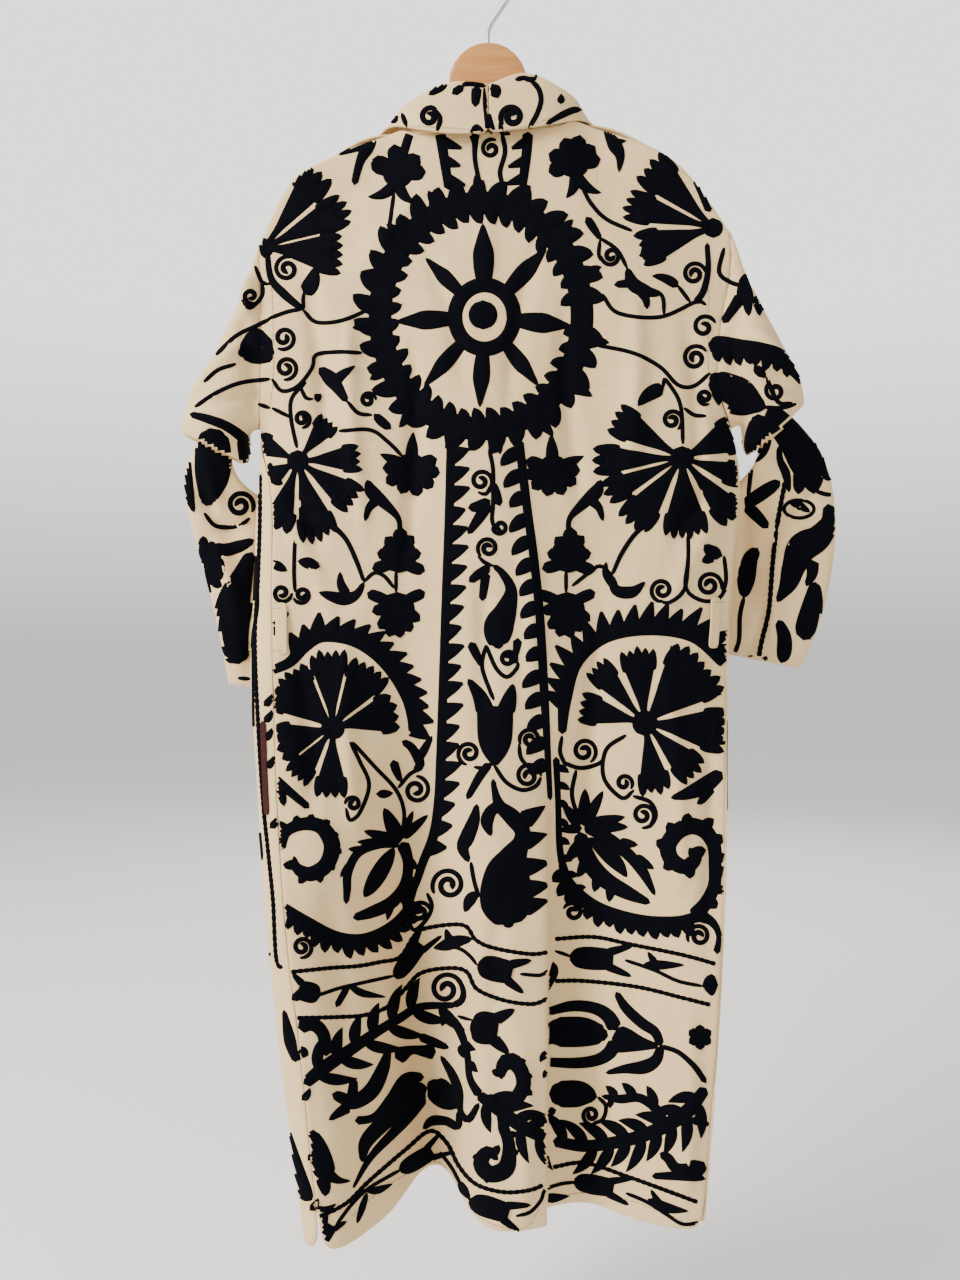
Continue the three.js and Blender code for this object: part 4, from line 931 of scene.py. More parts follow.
def drawColumn(n):
    # Centre column: two long bands with teeth turned inwards, and the motifs between them.
    left = n.body([(451, 446, 9), (449, 520, 9), (446, 600, 9), (443, 690, 9), (441, 760, 10), (439, 800, 10),
                   (434, 834, 10), (423, 862, 9), (415, 885, 8), (403, 908, 6)])
    n.saw(left, 21, 18, 17, -1, -0.4, 0.0, 0.88)
    right = n.body([(519, 440, 9), (526, 500, 9), (534, 560, 9), (540, 620, 9), (544, 690, 9), (547, 742, 7),
                    (550, 800, 5)])
    n.teeth(right, 15, 19, 15, 1, 0.6, 0.7, 0.0, 0.93)
    low = n.body([(556, 757, 7), (558, 800, 6), (560, 850, 7), (568, 880, 9), (582, 898, 8)])
    n.teeth(low, 8, 11, 8, -1, 0.5)
    n.lines(4.4, [(489, 449), (493, 470), (493, 504), (492, 520), (496, 530)], [(493, 482), (486, 494), (478, 492)],
            [(478, 556), (484, 562), (493, 566)], [(486, 645), (482, 666), (489, 688), (494, 700)],
            [(486, 645), (496, 668), (507, 677), (517, 668), (518, 662)], [(474, 767), (484, 768), (494, 763)],
            [(519, 744), (521, 758), (530, 768), (541, 772)],
            [(494, 765), (506, 782), (522, 790), (536, 786), (541, 777)], [(471, 862), (474, 880), (479, 897)],
            [(427, 893), (432, 906), (426, 920), (414, 930), (407, 918)])
    n.spirals((481, 481, 12, 60, 1.5, -1), (500, 527, 8, 180, 1.3, -1), (488, 548, 11, 130, 1.6, 1),
              (508, 659, 9, 30, 1.5, -1), (469, 753, 12, 100, 1.6, 1), (530, 739, 11, 150, 1.6, 1),
              (528, 776, 13, 0, 1.6, -1), (449, 885, 17, 150, 1.7, 1, 4.6), (420, 912, 11, 0, 1.5, -1))
    n.bodies([(490, 500, 9), (480, 506, 12), (468, 508, 7)], [(489, 503, 12), (479, 518, 11), (468, 534, 6)],
             [(493, 482, 6), (496, 494, 10), (500, 506, 7)],
             [(493, 565, 5), (503, 574, 8), (511, 590, 12), (506, 610, 22), (499, 626, 30), (498, 640, 24),
              (499, 649, 9)], [(490, 567, 9), (479, 574, 10), (469, 582, 7)],
             [(486, 572, 10), (484, 588, 9), (482, 601, 7)], [(470, 642, 9), (476, 654, 9), (482, 667, 4)],
             [(518, 638, 10), (516, 652, 7), (513, 664, 4)], [(486, 714, 20), (480, 697, 15), (468, 679, 5)],
             [(505, 714, 20), (510, 697, 14), (513, 684, 4)], [(490, 763, 8), (480, 776, 9), (467, 799, 6)])
    n.body([(495, 765, 6), (495, 755, 22), (495, 742, 33), (495, 724, 36), (495, 706, 36)], True)
    # Goose with a curled head, a long neck and feathers down its back.
    n.bodies([(493, 779, 5), (495, 792, 7), (500, 806, 12), (512, 817, 17), (522, 830, 16), (521, 842, 17),
              (514, 856, 28), (508, 872, 44), (506, 892, 52), (507, 908, 50), (508, 920, 34), (509, 928, 10)],
             [(502, 806, 12), (492, 810, 12), (487, 822, 13), (491, 836, 4)],
             [(477, 804, 4), (474, 820, 12), (467, 838, 15), (463, 848, 12), (469, 862, 5)],
             [(478, 892, 7), (470, 900, 12), (465, 912, 4)])
    for x0, y0, x1, y1 in ((522, 822, 545, 806), (522, 842, 547, 834), (522, 868, 551, 862), (524, 890, 551, 884),
                           (522, 908, 549, 900)):
        n.body([(x0, y0, 22), ((x0 + x1) / 2, (y0 + y1) / 2, 14), (x1, y1, 2)])


def drawLeftRound(n):
    # Left lower medallion: toothed arc, fan flower, scroll and palm leaf.
    arc = n.body([(270, 671, 9), (290, 662, 11), (304, 646, 14), (322, 635, 15), (350, 638, 15), (374, 651, 15),
                  (394, 672, 15), (408, 697, 14), (414, 718, 14), (413, 734, 10)])
    n.saw(arc, 15, 19, 17, -1, 0.5, 0.14, 1.0)
    n.petals(333, 728, ((-94, 76, 31, 5), (-57, 72, 37, 5), (-15, 66, 38, 4), (92, 68, 30, 4), (127, 62, 28, 4),
                        (164, 58, 42, 4), (222, 70, 50, 7)), heart=12)
    n.lines(4.2, [(350, 742), (360, 762), (369, 785), (360, 812), (350, 820), (346, 808)],
            [(352, 742), (375, 767), (396, 790), (404, 812), (402, 836)], [(398, 788), (410, 774), (422, 768)],
            [(267, 636), (264, 648), (272, 656)])
    n.spirals((353, 804, 8, 180, 1.3, 1), (416, 790, 14, -90, 1.6, 1), (302, 947, 11, 100, 1.6, -1))
    n.bodies([(393, 760, 9), (396, 770, 9), (401, 782, 5)], [(376, 794, 5), (384, 794, 9), (393, 793, 3)],
             [(402, 741, 6), (412, 748, 9), (420, 764, 10), (413, 772, 5)],
             [(432, 736, 4), (424, 750, 9), (418, 762, 6)], [(274, 778, 10), (290, 792, 9), (309, 808, 7)],
             [(276, 784, 10), (282, 796, 9), (284, 806, 5)])
    n.hook([(280, 850, 10), (286, 832, 11), (303, 824, 13), (321, 827, 15), (332, 845, 17), (326, 865, 16),
            (310, 874, 15), (297, 868, 11), (294, 856, 3)], 11, -1)
    # Palm leaf: two thorned blades round a drop.
    n.bodies([(400, 840, 16), (378, 843, 12), (358, 853, 9), (348, 872, 9), (347, 890, 8), (346, 904, 5)],
             [(402, 842, 14), (408, 862, 11), (405, 884, 11), (392, 902, 13), (372, 912, 12), (353, 918, 7)],
             [(394, 848, 4), (387, 860, 14), (378, 875, 17), (370, 888, 13), (364, 897, 4)])
    n.leaves(0.0, 0.8, (366, 850, 348, 849, 8), (352, 862, 340, 877, 8), (408, 858, 418, 870, 8),
             (408, 872, 413, 892, 8), (402, 888, 404, 907, 8), (392, 900, 387, 920, 8), (400, 842, 384, 808, 16),
             (400, 842, 364, 831, 12), (400, 842, 357, 842, 10), (402, 838, 413, 811, 9), (402, 838, 428, 815, 10))
    arc = n.body([(283, 904, 5), (306, 920, 9), (335, 936, 11), (363, 939, 11), (390, 927, 10), (408, 906, 7),
                  (418, 876, 6)])
    n.teeth(arc, 15, 17, 13, 1, 0.2, 0.9, 0.0, 0.86)


def drawRightRound(n):
    # Right lower medallion, with a lobed plume.
    arc = n.body([(562, 734, 8), (565, 700, 13), (576, 662, 14), (605, 636, 15), (649, 627, 17), (694, 635, 16),
                  (727, 664, 14)])
    n.saw(arc, 16, 24, 16, -1, 0.35, 0.1, 0.97)
    n.petals(645, 723, ((-96, 74, 31, 5), (-46, 84, 50, 7), (6, 82, 35, 5), (45, 71, 29, 4), (81, 70, 29, 4),
                        (194, 66, 30, 4), (229, 76, 23, 4)), heart=13)
    n.lines(4.4, [(626, 735), (606, 750), (604, 778), (622, 798), (634, 790)],
            [(633, 796), (650, 802), (656, 815), (650, 826), (642, 828)],
            [(562, 762), (580, 768), (598, 764), (604, 758)], [(576, 770), (572, 796), (581, 824)],
            [(562, 736), (560, 752), (566, 766)])
    n.spirals((624, 783, 9, 40, 1.3, -1), (643, 815, 12, 60, 1.5, -1), (584, 751, 13, 60, 1.6, -1),
              (699, 936, 12, 150, 1.6, 1), (573, 912, 10, 200, 1.4, 1))
    n.bodies([(671, 798, 4), (686, 794, 12), (704, 786, 17), (722, 772, 12)],
             [(712, 786, 12), (702, 800, 8), (697, 804, 3)],
             [(696, 914, 14), (712, 922, 9), (719, 936, 6), (717, 954, 9)])
    n.bodies([(584, 828, 8), (598, 833, 12), (613, 842, 13), (630, 856, 12), (643, 872, 11), (655, 895, 4)],
             [(580, 832, 12), (583, 848, 17), (592, 866, 18), (607, 881, 17), (628, 893, 14), (650, 903, 6)],
             [(588, 838, 4), (599, 846, 13), (611, 857, 16), (620, 867, 12), (627, 877, 3)])
    n.leaves(0.0, 0.8, (584, 826, 628, 827, 14), (618, 842, 638, 845, 10), (634, 856, 654, 869, 10),
             (584, 826, 585, 789, 14), (584, 826, 603, 791, 12), (588, 824, 625, 817, 12), (580, 826, 563, 804, 12),
             (582, 828, 559, 830, 10), (582, 842, 566, 861, 13), (588, 858, 578, 877, 12), (600, 872, 594, 892, 12),
             (612, 882, 609, 902, 11))
    n.hook([(689, 848, 6), (695, 858, 14), (685, 867, 15), (672, 860, 16), (668, 846, 17), (677, 832, 17),
            (691, 826, 17), (705, 831, 16), (714, 846, 14), (715, 866, 13), (714, 886, 13), (705, 904, 14),
            (692, 917, 15)], 13, -1, 14)
    arc = n.body([(560, 862, 6), (571, 884, 9), (597, 906, 10), (638, 919, 10), (676, 921, 10), (700, 916, 12)])
    n.teeth(arc, 14, 17, 14, 1, 0.15, 0.9, 0.05, 0.94)


def drawBorderLines(n):
    # Chain lines follow the hem; lying goblets and birds sit between them.
    for row in ([(291, 972), (330, 968), (358, 966), (380, 962), (400, 957), (414, 936), (427, 928), (463, 925),
                 (476, 940), (494, 948), (530, 954), (549, 952)],
                [(555, 939), (594, 937), (629, 944), (683, 955), (719, 965)],
                [(297, 1018), (340, 1017), (365, 1015), (387, 1007), (405, 989), (421, 973), (450, 968), (467, 972),
                 (477, 989), (503, 1000), (532, 1004), (549, 998)],
                [(555, 981), (585, 981), (638, 987), (683, 998), (715, 1006)],
                [(314, 1219), (345, 1204), (369, 1181), (405, 1150), (430, 1131), (447, 1143), (459, 1166),
                 (476, 1184), (503, 1192), (530, 1190), (547, 1183)],
                [(553, 1167), (585, 1163), (629, 1177), (665, 1190), (700, 1203)]):
        n.chain(row, 4.6)
    n.lines(3.8, [(316, 996), (340, 988), (366, 982), (393, 976)], [(436, 946), (458, 948), (470, 956), (477, 965)],
            [(520, 974), (541, 975), (550, 968)], [(555, 951), (564, 954), (572, 957)],
            [(625, 960), (654, 970), (678, 981), (702, 986)], [(336, 1225), (352, 1204), (369, 1188), (400, 1170)],
            [(440, 1152), (452, 1168), (459, 1181), (470, 1200)],
            [(516, 1216), (530, 1212), (541, 1200), (545, 1190), (560, 1184), (576, 1182)],
            [(626, 1193), (647, 1202), (666, 1214), (683, 1224), (701, 1222)])
    for row in ((395, 978, 424, 940, 17), (478, 965, 516, 974, 25), (570, 957, 618, 960, 23),
                (400, 1171, 436, 1149, 17), (470, 1201, 513, 1215, 22), (574, 1181, 618, 1189, 20),
                (316, 1246, 332, 1222, 17), (320, 995, 296, 989, 21)):
        n.tulip(*row, 0.3)
    n.bodies([(434, 948, 3), (446, 945, 12), (458, 941, 12), (472, 939, 5)], [(450, 942, 12), (446, 929, 3)],
             [(643, 965, 3), (653, 965, 10), (668, 965, 8), (684, 965, 2)], [(655, 963, 9), (648, 952, 3)],
             [(702, 986, 5), (709, 985, 20), (718, 985, 24)], [(349, 984, 5), (344, 993, 7), (336, 1007, 6)],
             [(349, 985, 5), (362, 993, 8), (385, 997, 2)], [(553, 962, 3), (554, 972, 9), (546, 992, 4)],
             [(367, 1192, 4), (378, 1190, 8), (392, 1184, 2)], [(367, 1193, 4), (362, 1208, 7), (357, 1223, 3)],
             [(542, 1197, 4), (552, 1198, 10), (569, 1196, 2)],
             [(648, 1199, 4), (660, 1205, 10), (672, 1209, 9), (688, 1211, 2)], [(660, 1205, 9), (651, 1190, 3)],
             [(459, 1181, 5), (464, 1190, 9), (470, 1199, 3)])


def drawBorderLeft(n):
    # Left half of the wide band: leafy branches, hooked leaves and long curved blades.
    n.vine([(304, 1084, 12), (325, 1067, 14), (353, 1048, 12), (378, 1031, 10), (400, 1018, 9), (420, 1007, 8),
            (456, 1005, 6)], 12, 6, 26)
    n.bodies([(452, 1006, 7), (462, 1000, 7), (463, 988, 5), (456, 977, 4)],
             [(298, 1028, 14), (312, 1024, 14), (323, 1034, 13), (326, 1056, 13)],
             [(444, 1013, 9), (458, 1027, 9), (467, 1052, 7), (470, 1078, 7), (480, 1096, 10)])
    n.spiral(446, 989, 17, 20, 1.6, -1, 4.6)
    n.vine([(478, 1094, 10), (499, 1110, 13), (525, 1128, 14), (547, 1138, 13)], 11, 4, 25)
    n.leaves(0.1, 0.4, (448, 1016, 442, 1026, 9), (462, 1040, 476, 1050, 9), (470, 1060, 478, 1072, 8),
             (462, 1044, 464, 1058, 8), (303, 1058, 301, 1046, 11))
    n.tulip(471, 1026, 501, 1030, 33, 0.36)
    n.line([(458, 1016), (464, 1018), (472, 1020)], 3.8)
    n.hook([(501, 1079, 5), (503, 1066, 15), (512, 1061, 17), (521, 1071, 15), (523, 1087, 15), (512, 1102, 15),
            (498, 1100, 10), (486, 1096, 6)], 8, -1, 10)
    n.hook([(498, 1160, 4), (488, 1152, 13), (481, 1163, 16), (490, 1174, 17), (506, 1168, 18), (509, 1146, 13),
            (504, 1128, 11), (501, 1112, 10)], 7, 1, 10)
    n.bodies([(389, 1047, 5), (383, 1068, 13), (372, 1090, 16), (356, 1102, 14), (344, 1104, 9)],
             [(352, 1104, 12), (342, 1098, 12), (332, 1094, 9)], [(352, 1100, 12), (353, 1088, 10), (354, 1078, 7)],
             [(350, 1106, 12), (340, 1112, 10), (329, 1120, 4)],
             [(395, 1058, 18), (402, 1054, 16), (412, 1050, 9), (424, 1051, 12), (436, 1052, 18)],
             [(418, 1036, 9), (426, 1039, 9), (436, 1043, 9), (449, 1048, 5)],
             [(441, 1056, 4), (452, 1074, 9), (459, 1092, 9), (461, 1112, 6), (469, 1119, 8), (479, 1103, 5)],
             [(355, 1121, 9), (374, 1117, 8), (390, 1098, 8), (406, 1079, 12), (424, 1077, 8)],
             [(362, 1162, 5), (366, 1142, 14), (384, 1122, 17), (402, 1104, 24), (416, 1092, 26), (426, 1086, 12)],
             [(353, 1188, 3), (370, 1158, 7), (392, 1134, 10), (408, 1118, 10), (426, 1100, 5)],
             [(428, 1082, 14), (438, 1090, 26), (448, 1100, 22), (458, 1108, 6)],
             [(423, 1129, 4), (432, 1121, 10), (446, 1121, 9), (458, 1126, 8), (459, 1110, 5)],
             [(306, 1130, 16), (314, 1146, 24), (322, 1164, 24), (328, 1180, 18)],
             [(324, 1172, 16), (338, 1180, 8), (350, 1181, 2)], [(322, 1176, 16), (325, 1188, 12), (325, 1196, 5)],
             [(314, 1208, 5), (326, 1209, 6), (336, 1204, 2)])


def drawBorderRight(n):
    # Right half of the wide band: a striped goblet on its side and a leafy branch.
    n.bodies([(546, 1032, 26), (560, 1032, 30), (582, 1032, 30), (598, 1034, 22), (608, 1036, 12)],
             [(547, 1012, 8), (572, 1006, 11), (594, 1008, 12), (608, 1016, 14), (616, 1030, 16)],
             [(547, 1062, 9), (575, 1063, 11), (597, 1060, 12), (610, 1052, 14), (616, 1040, 14)],
             [(612, 1038, 28), (624, 1040, 26), (642, 1044, 14), (658, 1046, 5)],
             [(616, 992, 6), (626, 1008, 10), (642, 1023, 11), (655, 1032, 10), (661, 1046, 8)],
             [(606, 1073, 4), (624, 1069, 9), (644, 1067, 14), (656, 1060, 12), (661, 1046, 8)],
             [(660, 1046, 5), (678, 1052, 5), (694, 1066, 6), (706, 1083, 6)])
    n.blossom(700, 1037, 13, (150, 210, 270, 330, 30, 90), 0.8)
    n.bodies([(549, 1094, 22), (564, 1094, 27), (582, 1094, 25), (597, 1097, 8)], [(548, 1112, 8), (556, 1110, 8)])
    n.line([(598, 1097), (606, 1106), (603, 1119), (592, 1124)], 4.2)
    n.spiral(591, 1115, 9, 90, 1.4, 1)
    n.vine([(706, 1088, 11), (684, 1114, 15), (652, 1132, 14), (622, 1141, 13), (585, 1146, 12), (553, 1141, 11)],
           12, 8, 25)
    n.body([(664, 1128, 12), (658, 1111, 10), (640, 1098, 9), (620, 1099, 9), (602, 1096, 4)])
    n.leaves(0.08, 0.7, (616, 1098, 606, 1086, 9), (634, 1098, 622, 1083, 10), (654, 1108, 647, 1086, 11),
             (612, 1100, 610, 1108, 7), (690, 1118, 712, 1124, 8))
    n.bodies([(704, 1162, 26), (698, 1170, 24), (685, 1175, 12), (652, 1176, 6)],
             [(690, 1170, 14), (676, 1168, 11), (668, 1158, 10), (660, 1153, 8)])
    n.leaves(0.1, 0.4, (553, 1014, 545, 1008, 10), (552, 1044, 545, 1038, 9), (549, 1052, 540, 1062, 8),
             (551, 1070, 543, 1078, 8))


def drawSleeves(n):
    # Left sleeve: half drop and lines above the fold, thick blades below it; in the recess just under the fold
    # these blades are partly black wool and partly painted shade.
    n.bodies([(238, 354, 8), (250, 350, 30), (262, 345, 38), (272, 340, 42)],
             [(190, 414, 6), (208, 419, 9), (228, 427, 10), (247, 442, 11), (262, 462, 10)],
             [(183, 436, 9), (184, 460, 14), (188, 490, 12), (194, 512, 4)],
             [(210, 428, 28), (213, 450, 36), (212, 478, 34), (206, 506, 12)],
             [(243, 436, 14), (248, 458, 18), (254, 482, 14), (256, 494, 6)],
             [(203, 536, 6), (205, 552, 16), (214, 566, 22), (216, 582, 12), (222, 586, 5)],
             [(206, 546, 12), (224, 550, 13), (240, 546, 12), (254, 540, 6)],
             [(252, 552, 12), (246, 574, 26), (239, 600, 42), (234, 628, 44), (236, 650, 36), (239, 664, 26)],
             [(202, 560, 6), (204, 576, 9), (210, 596, 5)])
    n.lines(4.4, [(255, 266), (262, 282), (270, 284)], [(216, 355), (236, 336), (256, 326), (270, 319)],
            [(204, 382), (218, 370), (236, 364)], [(195, 407), (216, 393), (240, 383), (270, 379)],
            [(204, 513), (216, 526), (238, 526), (250, 518)], [(262, 282), (262, 296), (250, 308), (242, 300)],
            [(238, 678), (250, 679)], [(270, 408), (258, 404)])
    n.spirals((251, 296, 8, 60, 1.2, 1), (240, 505, 14, 30, 1.6, -1, 4.8))
    # Right sleeve: drooping flower, scalloped band and half oval above the fold, birds and buds below it.
    n.bodies([(744, 274, 8), (748, 290, 24), (752, 304, 32)], [(742, 296, 14), (732, 310, 10), (723, 323, 8)],
             [(768, 290, 8), (764, 300, 14), (768, 312, 9)],
             [(708, 344, 16), (722, 346, 20), (740, 348, 18), (760, 351, 18), (778, 357, 18), (792, 368, 14),
              (803, 385, 5)], [(711, 374, 10), (719, 382, 26), (732, 393, 38), (746, 400, 34), (758, 405, 18),
                               (766, 408, 6)], [(754, 366, 7), (760, 372, 10), (766, 378, 4)],
             [(758, 414, 14), (759, 432, 26), (756, 450, 24), (752, 464, 5)],
             [(767, 410, 18), (780, 424, 26), (794, 442, 30), (806, 462, 34), (812, 480, 24), (814, 494, 5)],
             [(802, 400, 10), (812, 424, 18), (822, 450, 20), (828, 472, 16), (832, 482, 6)],
             [(779, 446, 5), (780, 460, 7), (786, 474, 9), (789, 492, 4)],
             [(800, 470, 14), (799, 486, 12), (798, 494, 6)],
             [(745, 505, 12), (758, 496, 14), (770, 488, 13), (780, 481, 8)],
             [(746, 505, 12), (757, 516, 12), (768, 528, 8)],
             [(828, 504, 10), (829, 522, 18), (818, 538, 26), (802, 548, 30), (794, 566, 24), (788, 584, 18),
              (777, 602, 4)], [(812, 560, 14), (812, 574, 11), (806, 586, 5)],
             [(815, 582, 10), (813, 602, 20), (808, 624, 24), (803, 640, 20)],
             [(758, 548, 9), (750, 560, 16), (746, 580, 18), (744, 598, 8)],
             [(778, 620, 8), (784, 636, 14), (784, 652, 15), (781, 663, 8)],
             [(789, 501, 5), (800, 506, 9), (810, 512, 3)])
    n.teeth([Vector((712 + 8.5 * k, 348 + (0.0 if k < 6 else (k - 5) * 3.2))) for k in range(11)], 8, 16, 12, 1,
            0.1, 1.0)
    for dx in (-3, 7, 16):
        n.leaf(750 + dx, 296, 752 + dx * 1.1, 316, 10, 0, 0.9)
    n.lines(4.6, [(724, 248), (719, 272), (730, 282), (742, 286)], [(766, 377), (778, 402), (792, 403)],
            [(764, 407), (780, 408), (796, 404)], [(752, 463), (750, 480), (748, 497)],
            [(744, 597), (740, 616), (739, 640), (734, 655)], [(814, 490), (824, 494), (834, 495)])
    n.chain([(785, 482), (778, 520), (773, 560), (769, 610), (762, 640), (758, 662)], 5.2)
    n.spirals((775, 391, 10, -120, 1.4, -1),)
    n.arc(799, 509, 15, 9, 0, 360, 3.6)
    n.leaves(0.05, 0.6, (748, 656, 754, 662, 8), (762, 658, 768, 662, 9))


def drawCollar(n):
    # Leaves along the fold, two curls, a wedge over the seam and a long stem.
    n.bodies([(447, 81, 7), (440, 87, 10), (429, 95, 5)], [(462, 84, 6), (472, 84, 5), (486, 86, 5)],
             [(464, 86, 7), (458, 90, 8), (452, 94, 8)], [(477, 86, 10), (476, 96, 10), (475, 107, 7)],
             [(484, 87, 2), (485, 102, 5), (488, 118, 8), (491, 134, 11)],
             [(492, 84, 9), (495, 91, 13), (498, 98, 8)], [(515, 80, 5), (524, 78, 5), (532, 80, 6), (537, 72, 4)],
             [(561, 94, 3), (561, 100, 8), (561, 104, 4)], [(546, 124, 4), (562, 115, 7), (574, 110, 7),
                                                            (582, 110, 4)],
             [(391, 123, 4), (394, 120, 7), (398, 116, 5)], [(402, 113, 4), (404, 119, 5), (407, 127, 5)])
    n.lines(5.4, [(530, 80), (538, 88), (541, 100), (537, 114), (529, 128)], [(437, 131), (440, 118), (432, 108)],
            [(500, 122), (502, 132), (510, 134)])
    n.spirals((430, 117, 10, -50, 1.2, -1, 5.2), (512, 117, 12, 140, 1.5, 1, 5.6))
    n.body([(470, 132, 10), (478, 131, 14), (484, 131, 8)])


def drawSideStrip(n):
    # A chain line runs down the strip of the left front that turns to the back.
    n.chain([(260, 470), (260, 520), (258, 580), (255, 640), (258, 720), (263, 800), (268, 850), (273, 900),
             (277, 962), (288, 964)], 4.4)
    n.lines(3.8, [(252, 640), (253, 720), (256, 790), (262, 860)], [(262, 900), (264, 930), (270, 956)])
    for x, y in ((264, 706), (264, 722), (264, 740), (266, 768), (270, 828), (292, 1000), (294, 1060), (302, 1100),
                 (308, 1160), (310, 1210)):
        n.leaf(x, y, x + 8, y - 12, 8, 0.1, 0.7)
    n.bodies([(284, 1010, 4), (290, 1040, 12), (296, 1062, 6)],
             [(288, 1130, 5), (294, 1160, 14), (304, 1190, 16), (312, 1200, 8)])


def outwards(s):
    # Distances that run from the middle of the front outwards, s = -1 for the left half.
    return lambda x: frontSide["middle"] + s * x


def drawFront(n, s):
    # One front: toothed edge, fans, half rings and the border.
    at = outwards(s)
    edge = n.body([(at(26), 476, 9), (at(28), 600, 9), (at(30), 760, 9), (at(33), 905, 9)])
    n.saw(edge, 21, 17, 14, -s, -0.35)
    n.chain([(at(44), 470), (at(51), 620), (at(54), 780), (at(56), 908)])
    n.fan(at(150), 290, 60, 8, 8, 36)
    n.fan(at(140), 458, 74, 20, 8, 37, 5)
    n.fan(at(140), 728, 72, 4, 8, 37, 5)
    n.saw(n.arc(at(140), 728, 90, 100, 150, 390, 14), 24, 20, 17, -1, 0.4)
    n.saw(n.arc(at(150), 286, 80, 84, 20, 160, 11), 14, 17, 15, -1, 0.4)
    n.spirals(*[(at(x), y, r, 40, 1.5, s) for x, y, r in ((80, 374, 12), (208, 376, 12), (74, 566, 13),
                                                          (206, 552, 12), (92, 622, 10), (84, 846, 13),
                                                          (186, 852, 12), (212, 622, 10), (116, 896, 11))])
    for x, y, tx, ty, w in ((104, 368, 122, 346, 14), (186, 372, 168, 348, 14), (74, 400, 64, 436, 15),
                            (100, 545, 116, 572, 15), (170, 548, 158, 578, 16), (64, 530, 60, 560, 14),
                            (74, 660, 64, 696, 13), (122, 846, 108, 880, 20), (152, 850, 148, 890, 20),
                            (206, 836, 212, 872, 16), (212, 440, 220, 476, 13), (60, 866, 70, 900, 13)):
        n.leaf(at(x), y, at(tx), ty, w, 0.14 * s, 0.4)
    n.lines(4.2, [(at(84), 386), (at(104), 398), (at(134), 386)],
            [(at(86), 580), (at(120), 596), (at(152), 590), (at(200), 564)],
            [(at(74), 834), (at(98), 824), (at(120), 836)], [(at(140), 376), (at(142), 388)],
            [(at(64), 480), (at(66), 500), (at(70), 540)])
    n.blossom(at(76), 482, 24, range(0, 360, 51), 0.5)
    n.tulip(at(130), 634, at(132), 606, 28)
    for y in (944, 992, 1166):
        n.chain([(at(36), y), (at(90), y + 4), (at(150), y + 10), (at(206), y + 16)])
    for k in range(4):
        n.tulip(at(46 + 42 * k), 969 + 3 * k, at(72 + 42 * k), 970 + 3 * k, 22, 0.3)
        n.tulip(at(46 + 40 * k), 1190 + 4 * k, at(70 + 40 * k), 1192 + 4 * k, 19, 0.3)
    n.vine([(at(38), 1140, 13), (at(70), 1118, 14), (at(104), 1100, 12), (at(140), 1082, 10), (at(190), 1050, 8)],
           12, 7, 25)
    n.hook([(at(66), 1084, 5), (at(70), 1062, 15), (at(88), 1052, 17), (at(102), 1068, 14), (at(100), 1090, 9)], 7,
           s, 10)
    n.bodies([(at(120), 1140, 6), (at(146), 1128, 20), (at(174), 1110, 18), (at(204), 1086, 6)],
             [(at(116), 1064, 5), (at(128), 1040, 18), (at(150), 1024, 14), (at(176), 1014, 4)])
    n.spirals((at(46), 1036, 12, 0, 1.6, s), (at(190), 1142, 11, 90, 1.5, s))


def drawFrontSleeve(n, s):
    # The outer face of one sleeve, seen from the front.
    at = outwards(s)
    n.fan(at(262), 320, 44, 0, 7, 40)
    n.bodies([(at(220), 372, 12), (at(240), 384, 18), (at(262), 390, 16), (at(290), 400, 6)],
             [(at(206), 470, 8), (at(224), 490, 26), (at(236), 520, 30), (at(232), 560, 14)],
             [(at(268), 470, 6), (at(280), 500, 16), (at(284), 540, 20), (at(276), 580, 8)],
             [(at(214), 600, 8), (at(236), 612, 24), (at(244), 640, 20)],
             [(at(272), 604, 6), (at(268), 630, 14), (at(262), 654, 8)])
    n.lines(4.2, [(at(208), 430), (at(240), 440), (at(280), 436)], [(at(250), 520), (at(254), 560), (at(250), 600)])
    n.spirals((at(252), 462, 11, 90, 1.5, s), (at(256), 580, 12, 0, 1.5, s), (at(214), 300, 9, 0, 1.4, s))


def drawLapels(n, s):
    # Leaves and curls down the turned collar.
    at = outwards(s)
    for k in range(9):
        x, y = at(104 - 6.2 * k), 158 + 31 * k
        n.leaf(x, y, x - 10 * s, y + 22, 11, 0.15 * s, 0.5)
        if k % 2:
            n.spiral(x - 16 * s, y + 4, 8, 0, 1.4, s, 3.8)


def drawSeams(n):
    # Running stitches beside the hems, the armholes, the collar's edge and on the belt loops.
    for row in ([(352, 1216), (372, 1198), (400, 1178), (436, 1162), (452, 1180), (464, 1202), (492, 1224),
                 (524, 1228), (540, 1208)], [(548, 1200), (584, 1193), (629, 1200), (684, 1222)],
                [(270, 262), (273, 320), (273, 380), (268, 410)], [(709, 250), (708, 320), (708, 372), (712, 400)],
                [(410, 126), (450, 128), (478, 130)], [(492, 130), (520, 128), (556, 116)],
                [(270, 608), (285, 608)], [(270, 651), (285, 651)], [(715, 602), (727, 602)],
                [(715, 648), (727, 648)]):
        n.dashes(row)


def embroider(name, pieces, draws, aim=fromView, material=None):
    needle = Needle(aim(treeOf(pieces)))
    for draw, *rest in draws:
        draw(needle, *rest)
    return needle.piece(name, material or wool)


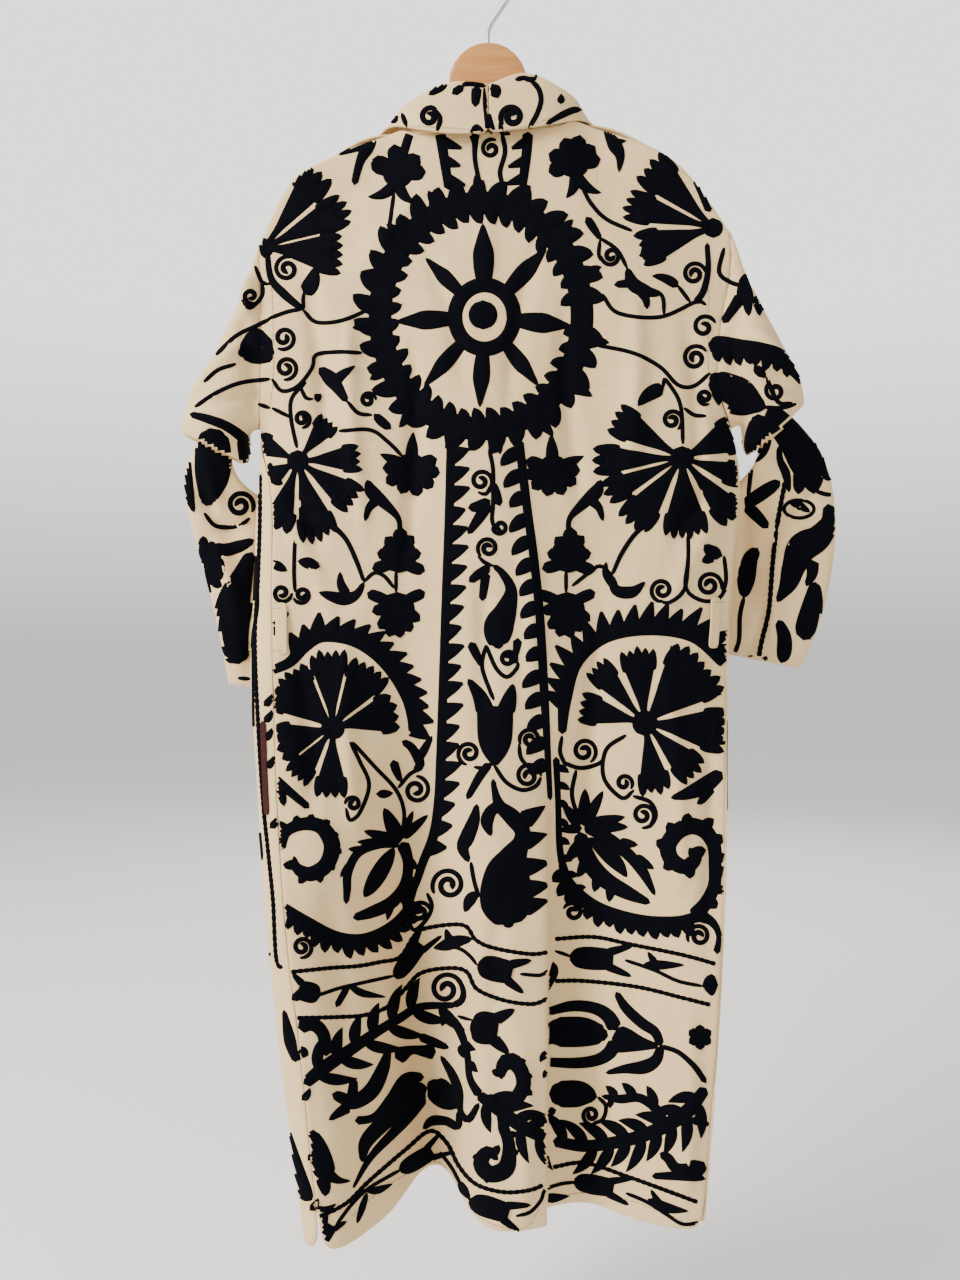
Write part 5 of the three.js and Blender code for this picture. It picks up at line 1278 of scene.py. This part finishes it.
embroider("embroiderySun", [back], [(drawSun,)])
embroider("embroideryShoulders", [back], [(drawShoulders,), (drawStems,)])
embroider("embroideryRounds", [back], [(drawRounds,)])
embroider("embroideryColumn", [back], [(drawColumn,)])
embroider("embroideryLower", [back], [(drawLeftRound,), (drawRightRound,)])
embroider("embroideryBorder", [back], [(drawBorderLines,), (drawBorderLeft,), (drawBorderRight,)])
embroider("embroiderySleeves", [sleeveLeft, sleeveRight, back, frontLeft, frontRight], [(drawSleeves,)])
embroider("embroideryCollar", [collarLeft, collarRight, back, wood], [(drawCollar,)])
embroider("embroiderySideStrip", [frontLeft, back], [(drawSideStrip,)])
frontPieces = [frontLeft, frontRight, collarLeft, collarRight]
embroider("embroideryFrontLeft", frontPieces, [(drawFront, -1)], fromFront)
embroider("embroideryFrontRight", frontPieces, [(drawFront, 1)], fromFront)
embroider("embroideryFrontSleeves", [sleeveLeft, sleeveRight, frontLeft, frontRight],
          [(drawFrontSleeve, -1), (drawFrontSleeve, 1)], fromFront)
embroider("embroideryLapels", frontPieces, [(drawLapels, -1), (drawLapels, 1)], fromFront)
embroider("seamStitches", [back, collarLeft, collarRight, sleeveLeft, sleeveRight, loopLeft, loopRight, frontLeft,
                           frontRight], [(drawSeams,)], material=thread)
print("embroidery worked")


# Wire hook.
hook = {"radius": 0.02375, "middle": -0.022, "wire": 0.00175, "from": -42, "to": 205, "steps": 24,
        "neck": [(0, -0.082), (0, -0.069), (0.0016, -0.062), (0.006, -0.055)]}
route = list(hook["neck"])
for step in range(hook["steps"] + 1):
    angle = math.radians(hook["from"] + (hook["to"] - hook["from"]) * step / hook["steps"])
    route.append((hook["radius"] * math.cos(angle), hook["middle"] + hook["radius"] * math.sin(angle)))
wireCurve = bpy.data.curves.new("hookWire", "CURVE")
wireCurve.dimensions = "3D"
wireCurve.bevel_depth = hook["wire"]
wireCurve.bevel_resolution = 5
wireCurve.use_fill_caps = True
strand = wireCurve.splines.new("NURBS")
strand.points.add(len(route) - 1)
for point, (x, z) in zip(strand.points, route):
    point.co = (x, 0, z, 1)
strand.order_u = 4
strand.use_endpoint_u = True
strand.resolution_u = 6
hookPiece = bpy.data.objects.new("hangerHook", wireCurve)
bpy.context.collection.objects.link(hookPiece)
bpy.ops.object.select_all(action="DESELECT")
bpy.context.view_layer.objects.active = hookPiece
hookPiece.select_set(True)
bpy.ops.object.convert(target="MESH")
hookPiece = bpy.context.object
hookPiece.name = "hangerHook"
finishPiece(hookPiece, drawnSteel("drawnSteel"), "hanger_hook")
print("hook bent")
